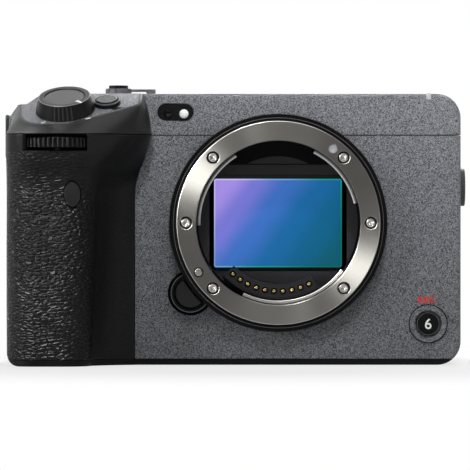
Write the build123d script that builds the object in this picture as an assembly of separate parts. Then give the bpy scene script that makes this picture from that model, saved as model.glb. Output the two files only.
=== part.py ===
from build123d import *
import os
from math import atan2, cos, pi, radians, sin

# Compact cinema camera body. Millimetres, +Z up, +X to the right seen from the front, +Y to the rear.
# The origin is the centre of the lens mount's flange face, and the lens axis points along -Y.

os.makedirs("parts", exist_ok=True)

# Casing
body_left = -75.8
body_right = 51.3
body_top = 36.3
body_base = -39.9
front_face = 5.0
rear_face = 49.0
wall = 1.5
seam = 0.2
case_split = 30.0
top_seam = 24.6
base_band = 1.7
corner_top = 6.8
corner_base = 6.6
corner_grip_base = 3.7
front_edge_round = 0.9
rear_edge_round = 2.0
shoulder_step_x = -66.5
shoulder_step_drop = 3.1

# Grip
grip_inner = -40.3
skin_thickness = 1.0
skin_clear = 0.05
core_wall = 1.3
pocket_base = -36.0
pocket_top = 22.0
skin_back = 24.0
skin_strip_right = -62.0
nose_flat = 7.0
nose_corner = 8.5
slope_origin = (-62.0, -16.0, 26.8)
slope_back = 0.45
slope_side = 0.07
plate_thickness = 1.3
plate_setback = 0.75
rim_chamfer = 0.35
slope_notch_top = 33.0
nose_reach = 60.0
rim_left = -72.3
rim_nose = -15.5
rim_corner = 8.6
rim_nose_end = -58.5
rim_crease = (-38.6, -5.8)
rim_edge = -37.9
rim_bulge = 0.4
rim_full = 0.62

# Lens mount
throat_radius = 23.05
flange_radius = 28.6
flange_thickness = 2.0
bezel_radius = 30.5
bezel_front = 0.7
claw_radius = 21.8
claw_thickness = 1.4
mount_clear = 0.1
screw_circle = 25.9
mount_screw_head = 1.25
mount_screw_shank = 0.8
counterbore = 1.7
recess_reach = 0.62
recess_width = 0.3
mount_screw_angles = (0, 45, 135, 180, 225, 315)
claw_spans = ((122, 182), (14, 63.5), (243.5, 323.5))
pin_angle = 211.8
pin_circle = 26.3
pin_radius = 1.05
contact_count = 10
contact_circle = 19.2
contact_radius = 0.5
contact_first = 228.4
contact_step = 7.6
block_inner = 17.3
block_outer = 21.5
block_start = 224
block_end = 302

# Sensor and what is behind the mount
sensor_width = 36.3
sensor_height = 25.1
sensor_glass_front = 16.1
glass_thickness = 1.4
package_thickness = 1.5
stage_gap = 0.3
stage_thickness = 1.5
chassis_front = 8.0
chassis_thickness = 2.5
baffle_front = 3.6
baffle_floor = 12.0
baffle_floor_thickness = 0.9
baffle_wall = 1.3
aperture_width = 38.0
aperture_height = 27.0
shutter_front = 13.0
shutter_plate = 0.6
blade_thickness = 0.3
blade_gap = 0.2
blade_height = 13.9
shutter_width = 56.0
shutter_base = -17.5
shutter_top = 29.0

# Buttons and dials on the sloping plate
dial_place = (-59.4, -6.5)
dial_skirt_radius = 8.35
dial_rim_radius = 7.3
dial_height = 4.3
shutter_disc_radius = 5.55
shutter_stem_radius = 3.1
shutter_travel = 0.8
hub_depth = 3.0
custom_place = (-47.8, -4.0)
custom_collar_radius = 3.6
custom_cap_radius = 2.95
custom_height = 1.3

# Front dial
front_dial_place = (-61.6, -9.0)
front_dial_height = 22.2
front_dial_radius = 11.0
front_dial_thickness = 3.2
front_dial_ridges = 50
ridge_depth = 0.55
dial_shaft = 1.2
dial_clear = 0.3
slot_height = 4.6
slot_drawn_left = 1.8
slot_drawn_right = 2.3

# Controls on the top
power_place = (-45.5, 30.0)
power_ring_radius = 3.72
power_ring_top = 38.5
power_cap_radius = 2.75
power_cap_top = 39.4
power_hub_radius = 3.0
power_stem_radius = 1.5
power_arm_reach = 10.6
top_record_place = (-33.0, 26.0)
sensitivity_place = (-33.0, 37.0)
top_button_radius = 2.9
top_button_proud = 0.4
rear_dial_x = -58.0
rear_dial_setback = 7.6
rear_dial_height = 30.0
rear_dial_radius = 9.0
rear_dial_thickness = 3.8
rear_dial_ridges = 44

# Controls on the front
window_place = (-28.9, 31.1)
window_width = 10.1
window_height = 4.7
window_lamps = ((-26.5, 30.65, 1.27), (-30.9, 30.75, 1.1))
tally_x = 42.3
tally_width = 1.3
tally_height = 1.5
tally_depth = 3.0
record_place = (42.15, -28.35)
record_collar_radius = 5.2
record_recess_radius = 3.85
record_cap_radius = 3.25
release_angle = 218.5
release_out = 1.05
release_collar_radius = 5.45
release_rim = 0.95
release_gap = 0.4

# Controls on the rear
joystick_place = (-44.0, 12.0)
stick_hole = 3.95
stick_radius = 1.1
stick_ball_radius = 1.9
stick_cap_radius = 3.1
gimbal_radius = 3.6
gimbal_half = 0.8
stick_lug_x = 5.4
stick_pin_radius = 0.5
wheel_place = (-44.0, -9.0)
wheel_radius = 9.5
wheel_hub_radius = 5.4
wheel_proud = 2.0
centre_radius = 4.2
menu_place = (-32.0, 18.0)
thumb_left = -71.5
thumb_right = -54.5
thumb_base = -6.0
thumb_top = 21.0
thumb_depth = 5.5
rear_button_radius = 2.4
button_flange = 0.6

# Accessory places
thread_radius = 2.6
bush_radius = 4.5
bush_length = 6.0
top_bush_places = ((-23.0, 15.0), (36.0, 15.0), (36.0, 40.0))
side_bush_right = (14.0, 10.1)
side_boss_radius = 5.3
side_boss_proud = 1.5
side_bush_left = (13.0, 24.35)
side_plate_height = 12.3
side_plate_length = 11.0
side_plate_proud = 1.0
tripod_place = (0.0, 25.0)
tripod_bush_radius = 6.0
shoe_middle = 30.0
shoe_width = 21.5
shoe_length = 22.0
shoe_opening = 18.6
shoe_throat = 12.6
shoe_rail = 1.4
shoe_slot = 2.1
shoe_plate = 1.2

# Battery and cards
battery_width = 22.7
battery_depth = 38.7
battery_height = 51.7
battery_left = -73.3
battery_front = -1.0
battery_clear = 0.25
battery_corner = 2.0
door_thickness = 1.5
card_door = (38.2, 46.4, -31.0, 6.0)
jack_door = (11.0, 25.0, -33.0, -21.5)
data_door = (11.0, 25.0, -18.5, 1.5)
socket_inner = 38.0
jack_radius = 1.8
data_port = (2.3, 2.0, 16.0)
pivot_radius = 0.4
pivot_length = 0.8
latch_setback = 7.0
latch_length = 8.0
latch_width = 4.0
latch_travel = 2.0
latch_rib_pitch = 1.6

# Monitor
hinge_x = 47.4
hinge_setout = 4.0
hinge_radius = 3.6
hinge_half = 9.8
hinge_pin_radius = 1.2
ear_height = 4.0
ear_gap = 0.15
arm_spigot_radius = 1.5
arm_spigot_length = 5.0
monitor_left = -24.0
monitor_base = -33.0
monitor_top = 23.0
monitor_gap = 0.3
monitor_thickness = 7.7
monitor_round = 3.0
screen_margin = 4.6
screen_thickness = 0.8

# Inside
chassis_left = -38.0
foot_half = 20.0
foot_rear = 33.0
foot_height = 2.0
stage_half = (23.0, 18.5)
frame_half = (27.0, 21.0)
frame_window = (15.0, 10.0)
base_half = (36.2, 24.2)
sink_half = (24.0, 20.0)
fin_count = 11
fin_pitch = 4.0
fin_thickness = 1.0
board_left = -38.0
board_right = 46.5
board_low = -34.0
board_high = 23.0
post_radius = 2.0
post_x = 34.0
post_z = 22.0
board_rear = 33.0
board_thickness = 1.6
fan_place = (36.0, 3.0)
fan_radius = 9.0
fan_front = 33.3
fan_depth = 9.5
fan_hub_radius = 3.2
fan_pin_radius = 0.8
vane_count = 9
vane_length = 5.6
vane_angle = 35
vent_pitch = 3.0
vent_count = 8
vent_half = 0.7
intake_left = 18.0
intake_right = 40.0
intake_front = 12.0
outlet_front = 34.5
outlet_rear = 44.5

# Case screws
screw_head = 1.6
screw_shank = 0.8
screw_head_depth = 0.8
screw_length = 4.0
screw_sink = 0.1
front_screws_x = (-36.0, 12.0, 43.0)
rear_screws_x = (-36.0, -20.0, 43.0)
case_boss_radius = 2.4
case_boss_height = 5.0
grip_screw_places = ((-68.0, -34.0), (-52.0, -34.0))

# Fits
button_clear = 0.15
running_clear = 0.06
door_clear = 0.15


def block(x0, x1, y0, y1, z0, z1):
    """Box between two corners."""
    return Pos((x0 + x1) / 2, (y0 + y1) / 2, (z0 + z1) / 2) * Box(x1 - x0, y1 - y0, z1 - z0)


def centred_plate(half, y0, y1):
    """Plate centred on the lens axis, from its half width and half height."""
    return block(-half[0], half[0], y0, y1, -half[1], half[1])


def rod_x(y, z, radius, x0, x1):
    """Round bar across the body."""
    return Pos((x0 + x1) / 2, y, z) * Rot(0, 90, 0) * Cylinder(radius, x1 - x0)


def rod_y(x, z, radius, y0, y1):
    """Round bar along the lens axis."""
    return Pos(x, (y0 + y1) / 2, z) * Rot(90, 0, 0) * Cylinder(radius, y1 - y0)


def rod_z(x, y, radius, z0, z1):
    """Upright round bar."""
    return Pos(x, y, (z0 + z1) / 2) * Cylinder(radius, z1 - z0)


def facing_front(y):
    """Sketch plane seen from the front: its x is X and its y is Z."""
    return Plane(origin=(0, y, 0), x_dir=(1, 0, 0), z_dir=(0, -1, 0))


def slab_y(face, y0, y1):
    """A front-view outline made solid from y0 back to y1."""
    return extrude(facing_front(y1) * face, y1 - y0)


def polar(radius, degrees):
    """Place on a circle round the lens axis, in the front view."""
    return radius * cos(radians(degrees)), radius * sin(radians(degrees))


def sector_y(r_in, r_out, start, end, y0, y1):
    """Part of a ring round the lens axis."""
    outer = CenterArc((0, 0), r_out, start, end - start)
    inner = CenterArc((0, 0), r_in, start, end - start)
    face = make_face([outer, inner, Line(outer @ 0, inner @ 0), Line(outer @ 1, inner @ 1)])
    return slab_y(face, y0, y1)


def toothed_disc(radius, depth, count, thickness):
    """Wheel with shallow V grooves cut in its edge, on its own axis."""
    points = []
    for i in range(count):
        for share, drop in ((0.0, 0.0), (0.5, 0.0), (0.75, depth)):
            turn = 2 * pi * (i + share) / count
            points.append(((radius - drop) * cos(turn), (radius - drop) * sin(turn)))
    return extrude(make_face(Polyline(*points, close=True)), thickness / 2, both=True)


def save(name, *solids):
    """Write one node, a solid or a group of like solids."""
    group = []
    for solid in solids:
        group.extend(solid.solids())
    shape = group[0] if len(group) == 1 else Compound(children=group)
    export_step(shape, "parts/" + name + ".step")


# The casing's outline in the front view, its corners rounded, grown solid between two depths
case_outline = (
    (body_left, body_base),
    (body_right, body_base),
    (body_right, body_top),
    (shoulder_step_x, body_top),
    (shoulder_step_x - 4.0, body_top - shoulder_step_drop),
    (shoulder_step_x - 6.7, body_top - shoulder_step_drop),
    (body_left, body_top - shoulder_step_drop - 3.7),
)
case_corners = (corner_grip_base, corner_base, corner_top, 4.0, 1.2, 0.8, 0.8)


def casing(inset, y0, y1):
    """The body's outline, drawn in by an inset, between two depths."""
    face = make_face(FilletPolyline(*case_outline, radius=case_corners, close=True))
    if inset:
        face = offset(face, -inset)
    return slab_y(face, y0, y1)


def edges_at_depth(solid, y):
    """Edges that lie in one upright plane across the lens axis."""
    found = []
    for edge in solid.edges():
        box = edge.bounding_box()
        if abs(box.min.Y - y) < 1e-4 and abs(box.max.Y - y) < 1e-4:
            found.append(edge)
    return found


# Plan of the grip, forward of the front panel: height, nose, crease x and y, inner edge, and how far the
# finger channel is drawn in. The hollow under the dial gives way to the full nose at the shoulder.
grip_levels = (
    (body_base, -13.2, -52.4, -5.2, grip_inner, 0.9),
    (-24.0, -14.6, -51.7, -5.4, grip_inner, 1.1),
    (-8.0, -15.0, -51.0, -5.8, grip_inner, 1.2),
    (4.0, -13.9, -50.6, -5.6, grip_inner, 1.1),
    (12.0, -14.3, -50.0, -6.0, -40.0, 0.6),
    (18.5, -18.2, -44.5, -7.6, -37.2, -0.8),
    (top_seam, -18.8, -40.2, -9.2, -35.8, -1.6),
)
shoulder_plan = grip_levels[-1][1:]
grip_rear = front_face - skin_clear


def slope_height(x, y):
    """Height of the sloping plate's top over a point in plan."""
    return slope_origin[2] + slope_side * (x - slope_origin[0]) + slope_back * (y - slope_origin[1])


def grip_plan(level, inset, height, rear=grip_rear):
    """Outline of the grip in plan, laid on the surface that height(x, y) gives."""
    nose, crease_x, crease_y, edge_x, hollow = level
    left = body_left + inset
    nose = nose + inset
    crease = (crease_x - 0.6 * inset, crease_y + 0.8 * inset)
    inner_edge = (edge_x - inset, grip_rear)
    corner_start = (left, nose + nose_corner)
    nose_start = (left + nose_corner, nose)
    nose_end = (nose_start[0] + nose_flat, nose)
    bend = nose_corner * (1 - cos(radians(45)))
    corner_middle = (left + bend, nose + bend)
    run, rise = crease[0] - nose_end[0], crease[1] - nose_end[1]
    sweep = (run * run + rise * rise) / (2 * rise)
    half_turn = atan2(run, sweep - rise) / 2
    knuckle = (nose_end[0] + sweep * sin(half_turn), nose + sweep * (1 - cos(half_turn)))
    channel = ((crease[0] + inner_edge[0]) / 2 - hollow, (crease[1] + inner_edge[1]) / 2 + hollow)

    def lay(point):
        return (point[0], point[1], height(*point))

    rear_left, rear_right = (left, rear), (inner_edge[0], rear)
    sides = [
        Line(lay(rear_left), lay(corner_start)),
        ThreePointArc(lay(corner_start), lay(corner_middle), lay(nose_start)),
        Line(lay(nose_start), lay(nose_end)),
        ThreePointArc(lay(nose_end), lay(knuckle), lay(crease)),
        ThreePointArc(lay(crease), lay(channel), lay(inner_edge)),
    ]
    if rear > grip_rear:
        sides.append(Line(lay(inner_edge), lay(rear_right)))
    return make_face(sides + [Line(lay(rear_right), lay(rear_left))])


def grip_front(inset):
    """The grip's swelling, forward of the front panel, up to the shoulder seam."""
    sections = []
    for level_height, *level in grip_levels:
        sections.append(grip_plan(level, inset, lambda x, y: level_height))
    return loft(sections, ruled=True) & casing(inset, -nose_reach, grip_rear)


def rim_plan(share, inset, height, rear=grip_rear):
    """Outline of the shoulder on its way from the seam, share 0, to its rim on the slope, share 1."""
    low_nose, low_crease_x, low_crease_y, low_edge, low_hollow = shoulder_plan

    def between(low, high):
        return low + (high - low) * share

    left = between(body_left, rim_left) + inset
    nose = between(low_nose, rim_nose) + inset
    corner = between(nose_corner, rim_corner)
    nose_end = (between(body_left + nose_corner + nose_flat, rim_nose_end), nose)
    crease = (
        between(low_crease_x, rim_crease[0]) - inset,
        between(low_crease_y, rim_crease[1]) + inset * rim_full,
    )
    inner_edge = (between(low_edge, rim_edge) - inset, grip_rear)
    bend = corner * (1 - cos(radians(45)))
    bulge = rim_bulge + 2.0 * (1 - share)
    hollow = low_hollow * (1 - share)
    knuckle = ((nose_end[0] + crease[0]) / 2 + bulge * 0.45, (nose + crease[1]) / 2 - bulge * 0.9)
    channel = ((crease[0] + inner_edge[0]) / 2 - hollow + 0.05, (crease[1] + inner_edge[1]) / 2 + hollow)

    def lay(x, y):
        return (x, y, height(x, y))

    sides = [
        Line(lay(left, rear), lay(left, nose + corner)),
        ThreePointArc(lay(left, nose + corner), lay(left + bend, nose + bend), lay(left + corner, nose)),
        Line(lay(left + corner, nose), lay(*nose_end)),
        ThreePointArc(lay(*nose_end), lay(*knuckle), lay(*crease)),
        ThreePointArc(lay(*crease), lay(*channel), lay(*inner_edge)),
    ]
    if rear > grip_rear:
        sides.append(Line(lay(*inner_edge), lay(inner_edge[0], rear)))
    return make_face(sides + [Line(lay(inner_edge[0], rear), lay(left, rear))])


def on_slope(inset, drop, rear=grip_rear):
    """The rim's outline laid on the sloping plane and lowered by a drop."""
    return rim_plan(1.0, inset, lambda x, y: slope_height(x, y) - drop, rear)


# The empty casing: the outer form less the room inside, front and rear edges rounded
case_outer = casing(0, front_face, rear_face)
case_outer = fillet(edges_at_depth(case_outer, front_face), front_edge_round)
case_outer = fillet(edges_at_depth(case_outer, rear_face), rear_edge_round)
case_room = casing(wall, front_face + wall, rear_face - wall)
case_shell = case_outer - case_room
inner_floor = body_base + wall
far = 100.0
case_shell -= block(
    body_left + wall, body_right - wall, front_face + wall, rear_face - wall, -far, inner_floor
)
band_top = body_base + base_band
cover_base = band_top + 0.05
cover_top = top_seam - seam / 2


def screw_y(x, z, head_radius, shank_radius, front, head, length):
    """Cross-recess screw along the lens axis, its head to the front."""
    screw = rod_y(x, z, head_radius, front, front + head)
    screw += rod_y(x, z, shank_radius, front + head, front + length)
    slot = head_radius * recess_reach
    for turn in (0, 90):
        screw -= Pos(x, front, z) * Rot(0, turn, 0) * Box(2 * slot, head, head_radius * recess_width)
    return screw


def screw_z(x, y, head_radius, shank_radius, base, head, length):
    """Cross-recess screw pointing up, its head at the base."""
    screw = rod_z(x, y, head_radius, base, base + head)
    screw += rod_z(x, y, shank_radius, base + head, base + length)
    slot = head_radius * recess_reach
    for turn in (0, 90):
        screw -= Pos(x, y, base) * Rot(0, 0, turn) * Box(2 * slot, head_radius * recess_width, head)
    return screw


# Lens mount: flange ring with three claws, held by six screws on the chassis boss
lock_x, lock_z = polar(pin_circle, pin_angle)
claw_root = 24.2
boss_inner = 24.4
boss_outer = flange_radius - 0.1
mount_ring = rod_y(0, 0, flange_radius, 0, flange_thickness)
mount_ring -= rod_y(0, 0, throat_radius, -1, flange_thickness + 1)
claw_rear = flange_thickness + claw_thickness
for start, end in claw_spans:
    mount_ring += sector_y(claw_radius, claw_root, start, end, flange_thickness, claw_rear)
plate_rear = chassis_front + chassis_thickness
chassis = block(chassis_left, body_right - wall, chassis_front, plate_rear, band_top, cover_top)
chassis = chassis & casing(wall, 0, case_split)
chassis += rod_y(0, 0, boss_outer, flange_thickness, chassis_front)
chassis -= rod_y(0, 0, boss_inner, 0, plate_rear + 1)
mount_screws = []
mount_head_front = 0.45
mount_head_depth = flange_thickness / 2
for angle in mount_screw_angles:
    x, z = polar(screw_circle, angle)
    mount_ring -= rod_y(x, z, counterbore, -1, mount_head_front + mount_head_depth)
    mount_ring -= rod_y(x, z, mount_screw_shank + running_clear, -1, flange_thickness + 1)
    chassis -= rod_y(x, z, mount_screw_shank + running_clear, 0, chassis_front + 1)
    screw = screw_y(
        x, z, mount_screw_head, mount_screw_shank, mount_head_front, mount_head_depth, chassis_front
    )
    mount_screws.append(screw)
mount_ring -= rod_y(lock_x, lock_z, pin_radius + running_clear, -1, flange_thickness + 1)

# Posts and a foot on the chassis carry the stabiliser and the tripod bush
sensor_rear = sensor_glass_front + glass_thickness + package_thickness
stage_rear = sensor_rear + stage_thickness
frame_front = stage_rear + stage_gap
frame_rear = frame_front + stage_thickness
base_front = frame_rear + stage_gap
base_rear = base_front + stage_thickness
for side in (-1, 1):
    for level in (-1, 1):
        chassis += rod_y(side * post_x, level * post_z, post_radius, plate_rear, base_front)
tripod_x, tripod_y = tripod_place
tripod_hole = tripod_bush_radius + 0.05
foot_top = band_top + foot_height
collar_top = foot_top + 1.5
chassis += block(-foot_half, foot_half, plate_rear, foot_rear, band_top, foot_top)
chassis -= rod_z(tripod_x, tripod_y, tripod_hole, body_base - 1, foot_top + 1)
tripod_bush = rod_z(tripod_x, tripod_y, tripod_bush_radius, body_base, collar_top)
tripod_bush += rod_z(tripod_x, tripod_y, tripod_bush_radius + 1.5, foot_top, collar_top)
tripod_bush -= rod_z(tripod_x, tripod_y, thread_radius, body_base - 1, far)

# Bezel round the flange, with the collar of the release button
release_circle = bezel_radius + release_out
release_x, release_z = polar(release_circle, release_angle)
release_front = 2.2
bezel_room = bezel_radius + mount_clear
collar = rod_y(release_x, release_z, release_collar_radius, release_front, grip_rear)
collar -= rod_y(release_x, release_z, release_collar_radius - release_rim, 0, front_face)
bezel = rod_y(0, 0, bezel_radius, bezel_front, chassis_front)
bezel = (bezel + collar) - rod_y(0, 0, flange_radius + mount_clear, -1, chassis_front + 1)
release_cap_radius = release_collar_radius - release_rim - release_gap
release_stem_radius = 1.5
release_stem_x, release_stem_z = polar(release_circle + 2.0, release_angle)
release_cap = rod_y(release_x, release_z, release_cap_radius, release_front - 0.5, front_face - 0.4)
release_cap -= rod_y(0, 0, bezel_radius + 0.5, 0, front_face)
release_cap += rod_y(release_stem_x, release_stem_z, release_stem_radius, front_face - 1.5, plate_rear)
release_way = rod_y(
    release_x, release_z, release_collar_radius - release_rim, front_face - 0.5, front_face + 1.0
)
release_way += rod_y(release_stem_x, release_stem_z, release_stem_radius + button_clear, 0, far)
lock_pin = rod_y(lock_x, lock_z, pin_radius, -0.9, chassis_front + 1)
lock_pin = fillet(edges_at_depth(lock_pin, -0.9), 0.3)
chassis -= rod_y(lock_x, lock_z, pin_radius + running_clear, 0, far)
chassis -= rod_y(release_stem_x, release_stem_z, release_stem_radius + button_clear, 0, far)

# Light baffle in the throat, contact block and its pins
baffle = rod_y(0, 0, boss_inner - 0.1, baffle_front, baffle_floor + baffle_floor_thickness)
baffle -= rod_y(0, 0, boss_inner - baffle_wall, baffle_front - 1, baffle_floor)
aperture_half = (aperture_width / 2, aperture_height / 2)
baffle -= centred_plate(aperture_half, baffle_floor - 1, far)
contact_face = baffle_front + 0.9
contact_block = sector_y(block_inner, block_outer, block_start, block_end, contact_face, baffle_floor)
contact_pins = []
for i in range(contact_count):
    x, z = polar(contact_circle, contact_first + contact_step * i)
    contact_block -= rod_y(x, z, contact_radius + 0.02, 0, contact_face + 2)
    pin = rod_y(x, z, contact_radius, contact_face - 0.5, contact_face + 2)
    contact_pins.append(fillet(edges_at_depth(pin, contact_face - 0.5), 0.3))

# Shutter: a front and a rear plate on side rails, two blades parked above the opening
blade_front = shutter_front + shutter_plate + blade_gap
second_blade_front = blade_front + blade_thickness + blade_gap
shutter_rear = second_blade_front + blade_thickness + blade_gap + shutter_plate
blade_half = aperture_width / 2 + 2.5
half_frame = shutter_width / 2
shutter_frame = block(-half_frame, half_frame, shutter_front, shutter_rear, shutter_base, shutter_top)
shutter_frame -= block(
    -blade_half - 0.2,
    blade_half + 0.2,
    shutter_front + shutter_plate,
    shutter_rear - shutter_plate,
    shutter_base + 1.5,
    shutter_top - 0.8,
)
shutter_frame -= centred_plate(aperture_half, 0, far)
blade_base = aperture_height / 2 + 0.3
first_blade = block(
    -blade_half,
    blade_half,
    blade_front,
    blade_front + blade_thickness,
    blade_base,
    blade_base + blade_height,
)
second_blade = block(
    -blade_half,
    blade_half,
    second_blade_front,
    second_blade_front + blade_thickness,
    blade_base,
    blade_base + blade_height,
)

# Sensor on its floating stage: glass, package, stage, frame, fixed base
glass_rear = sensor_glass_front + glass_thickness
half_glass_x, half_glass_z = sensor_width / 2, sensor_height / 2
sensor_glass = centred_plate((half_glass_x, half_glass_z), sensor_glass_front, glass_rear)
sensor_glass = chamfer(edges_at_depth(sensor_glass, sensor_glass_front), 0.4)
package = centred_plate((half_glass_x + 2.0, half_glass_z + 3.0), glass_rear, sensor_rear)
stage = centred_plate(stage_half, sensor_rear, stage_rear)
stage_frame = centred_plate(frame_half, frame_front, frame_rear) - centred_plate(frame_window, 0, far)
stage_base = centred_plate(base_half, base_front, base_rear)
board_front = board_rear - board_thickness
sink_plate_rear = base_rear + 1.5
heat_sink = centred_plate(sink_half, base_rear, sink_plate_rear)
for i in range(fin_count):
    fin_x = (i - (fin_count - 1) / 2) * fin_pitch
    fin = centred_plate((fin_thickness / 2, sink_half[1] - 1.0), sink_plate_rear, board_front)
    heat_sink += Pos(fin_x, 0, 0) * fin
main_board = block(board_left, board_right, board_front, board_rear, board_low, board_high)

# Fan behind the board, blowing out through the side grille
fan_x, fan_z = fan_place
fan_rear = fan_front + fan_depth
fan_half = fan_radius + 2.2
fan_right = body_right - wall - 0.1
fan_housing = block(fan_x - fan_half, fan_right, fan_front, fan_rear, fan_z - fan_half, fan_z + fan_half)
fan_housing -= rod_y(fan_x, fan_z, fan_radius + 0.8, fan_front + 1.0, far)
outlet_half = fan_half - 1.5
fan_housing -= block(
    fan_x + 2.0, body_right, fan_front + 1.0, fan_rear - 1.0, fan_z - outlet_half, fan_z + outlet_half
)
fan_housing += rod_y(fan_x, fan_z, fan_pin_radius, fan_front + 0.5, fan_rear - 1.0)
fan_housing = fan_housing.solids().sort_by(SortBy.VOLUME)[-1]
fan_rotor = rod_y(fan_x, fan_z, fan_hub_radius, fan_front + 1.4, fan_rear - 0.6)
vane_place = fan_hub_radius + vane_length / 2 - 1.2
for i in range(vane_count):
    vane = Pos(vane_place, 0, 0) * Rot(0, 0, vane_angle) * Box(vane_length, 0.6, fan_depth - 3.2)
    turned = Rot(90, 0, 0) * (Rot(0, 0, 360 / vane_count * i) * vane)
    fan_rotor += Pos(fan_x, fan_front + fan_depth / 2 + 0.2, fan_z) * turned
fan_rotor -= rod_y(fan_x, fan_z, fan_pin_radius + running_clear, 0, far)

# Battery upright in the grip, with its door in the base and its latch
battery_right = battery_left + battery_width
battery_rear = battery_front + battery_depth
battery_base = body_base + door_thickness + 0.3
battery_top = battery_base + battery_height
battery = block(battery_left, battery_right, battery_front, battery_rear, battery_base, battery_top)
battery = fillet(battery.edges().filter_by(Axis.Z), battery_corner)
room_x0, room_x1 = battery_left - battery_clear, battery_right + battery_clear
room_y0, room_y1 = battery_front - battery_clear, battery_rear + battery_clear
chamber = block(room_x0, room_x1, room_y0, room_y1, -far, battery_top + battery_clear)

# Base plate, black, under the casing and the grip
grip_form = grip_front(0)
grip_bridge = casing(0, grip_rear - skin_clear, front_face + wall)
grip_bridge = grip_bridge & block(-far, grip_inner, -far, far, -far, far)
base_form = (case_outer + grip_form + grip_bridge) & block(-far, far, -far, far, -far, band_top)
door_window = block(room_x0, room_x1, room_y0, room_y1, -far, band_top + 1)
door_pivot_y = room_y1 - door_clear - door_thickness / 2
door_pivot_z = body_base + door_thickness / 2
door_x0 = room_x0 + door_clear
door_x1 = room_x1 - door_clear
door_front = room_y0 + door_clear
door_inside = body_base + door_thickness
battery_door = base_form & block(door_x0, door_x1, door_front, door_pivot_y, -far, door_inside)
pivot_x0 = door_x0 + 3.0
lug_reach = door_thickness / 2 + 0.4
hinge_room = (lug_reach**2 + (door_thickness / 2) ** 2) ** 0.5 + 0.1
battery_door -= block(-far, pivot_x0, door_pivot_y - hinge_room, far, -far, far)
battery_door += rod_x(door_pivot_y, door_pivot_z, door_thickness / 2, pivot_x0, door_x1)
pin_x0, pin_x1 = pivot_x0 - pivot_length, door_x1 + pivot_length
battery_door += rod_x(door_pivot_y, door_pivot_z, pivot_radius, pin_x0, pin_x1)
hinge_lug = block(-far, pivot_x0 - 0.1, door_pivot_y - lug_reach, far, -far, band_top)
base_plate = (base_form - door_window) + (base_form & hinge_lug)
hinge_hole = pivot_radius + running_clear
base_plate -= rod_x(door_pivot_y, door_pivot_z, hinge_hole, pin_x0 - 0.3, pin_x1 + 0.3)
latch_x, latch_y = (door_x0 + door_x1) / 2, door_front + latch_setback
latch_depth = door_thickness * 0.6
battery_door -= block(
    latch_x - latch_width / 2 - door_clear,
    latch_x + latch_width / 2 + door_clear,
    latch_y - latch_length / 2 - door_clear,
    latch_y + latch_length / 2 + latch_travel + door_clear,
    -far,
    body_base + latch_depth,
)
battery_latch = block(
    latch_x - latch_width / 2,
    latch_x + latch_width / 2,
    latch_y - latch_length / 2,
    latch_y + latch_length / 2,
    body_base + 0.05,
    body_base + latch_depth - 0.05,
)
for i in range(4):
    groove_y = latch_y + (i - 1) * latch_rib_pitch
    battery_latch -= block(-far, far, groove_y - 0.2, groove_y + 0.2, -far, body_base + 0.35)

# Intake slots, tripod bush and screws in the base plate
base_plate -= rod_z(tripod_x, tripod_y, tripod_hole, -far, far)
for i in range(vent_count):
    slot_y = intake_front + i * vent_pitch
    base_plate -= block(intake_left, intake_right, slot_y - vent_half, slot_y + vent_half, -far, far)
case_screws = []
front_screws_y = chassis_front + chassis_thickness / 2
rear_screws_y = rear_face - 3.5
base_screw_places = [(x, front_screws_y) for x in front_screws_x]
base_screw_places += [(x, rear_screws_y) for x in rear_screws_x]
screw_base = body_base + screw_sink
for x, y in base_screw_places:
    chassis -= rod_z(x, y, screw_shank + running_clear, -far, body_base + 5.0)
    base_plate -= rod_z(x, y, screw_head + 0.2, -far, screw_base + screw_head_depth)
    base_plate -= rod_z(x, y, screw_shank + running_clear, -far, far)
    case_screws.append(screw_z(x, y, screw_head, screw_shank, screw_base, screw_head_depth, screw_length))

# Grip core, its leather skin and the smooth shoulder above them
core_inset = skin_thickness + skin_clear
level_band = block(-far, far, -far, far, cover_base, cover_top)
grip_core = grip_front(core_inset)
core_right = grip_inner - skin_clear
grip_core += casing(core_inset, grip_rear, case_split) & block(-far, core_right, -far, far, -far, far)
grip_core = grip_core & level_band
grip_core -= chamber
pocket_left, pocket_right = room_x1 + core_wall, core_right - core_wall
grip_core -= block(pocket_left, pocket_right, front_face + 3.0, far, pocket_base, pocket_top)
dial_x, dial_y = front_dial_place
dial_low = front_dial_height - front_dial_thickness / 2
dial_high = front_dial_height + front_dial_thickness / 2
slot_low = cover_top - slot_height
slot_left = dial_x - (front_dial_radius - slot_drawn_left)
slot_right = dial_x + (front_dial_radius - slot_drawn_right)
dial_room = rod_z(
    dial_x, dial_y, front_dial_radius + dial_clear, dial_low - dial_clear, dial_high + dial_clear
)
dial_room += block(slot_left, slot_right, -far, dial_y - 5.0, slot_low, far)
dial_room += rod_z(dial_x, dial_y, dial_shaft + running_clear, dial_low - 2.2, far)
grip_core -= dial_room
skin_strip = casing(0, grip_rear, skin_back) - casing(skin_thickness, grip_rear, skin_back)
skin_strip = skin_strip & block(-far, skin_strip_right, -far, far, -far, far)
grip_skin = (grip_form - grip_front(skin_thickness)) + skin_strip
grip_skin = (grip_skin & level_band) - dial_room
front_dial = toothed_disc(front_dial_radius, ridge_depth, front_dial_ridges, front_dial_thickness)
front_dial = Pos(dial_x, dial_y, front_dial_height) * front_dial
front_dial += rod_z(dial_x, dial_y, dial_shaft, dial_low - 2.0, cover_top)
plate_rear_edge = front_face + 3.0
shoulder_low = top_seam + seam / 2


def shoulder_level(rise):
    """Height over the seam as a share of the way up to the slope."""
    return lambda x, y: shoulder_low + (slope_height(x, y) - shoulder_low) * rise


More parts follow.
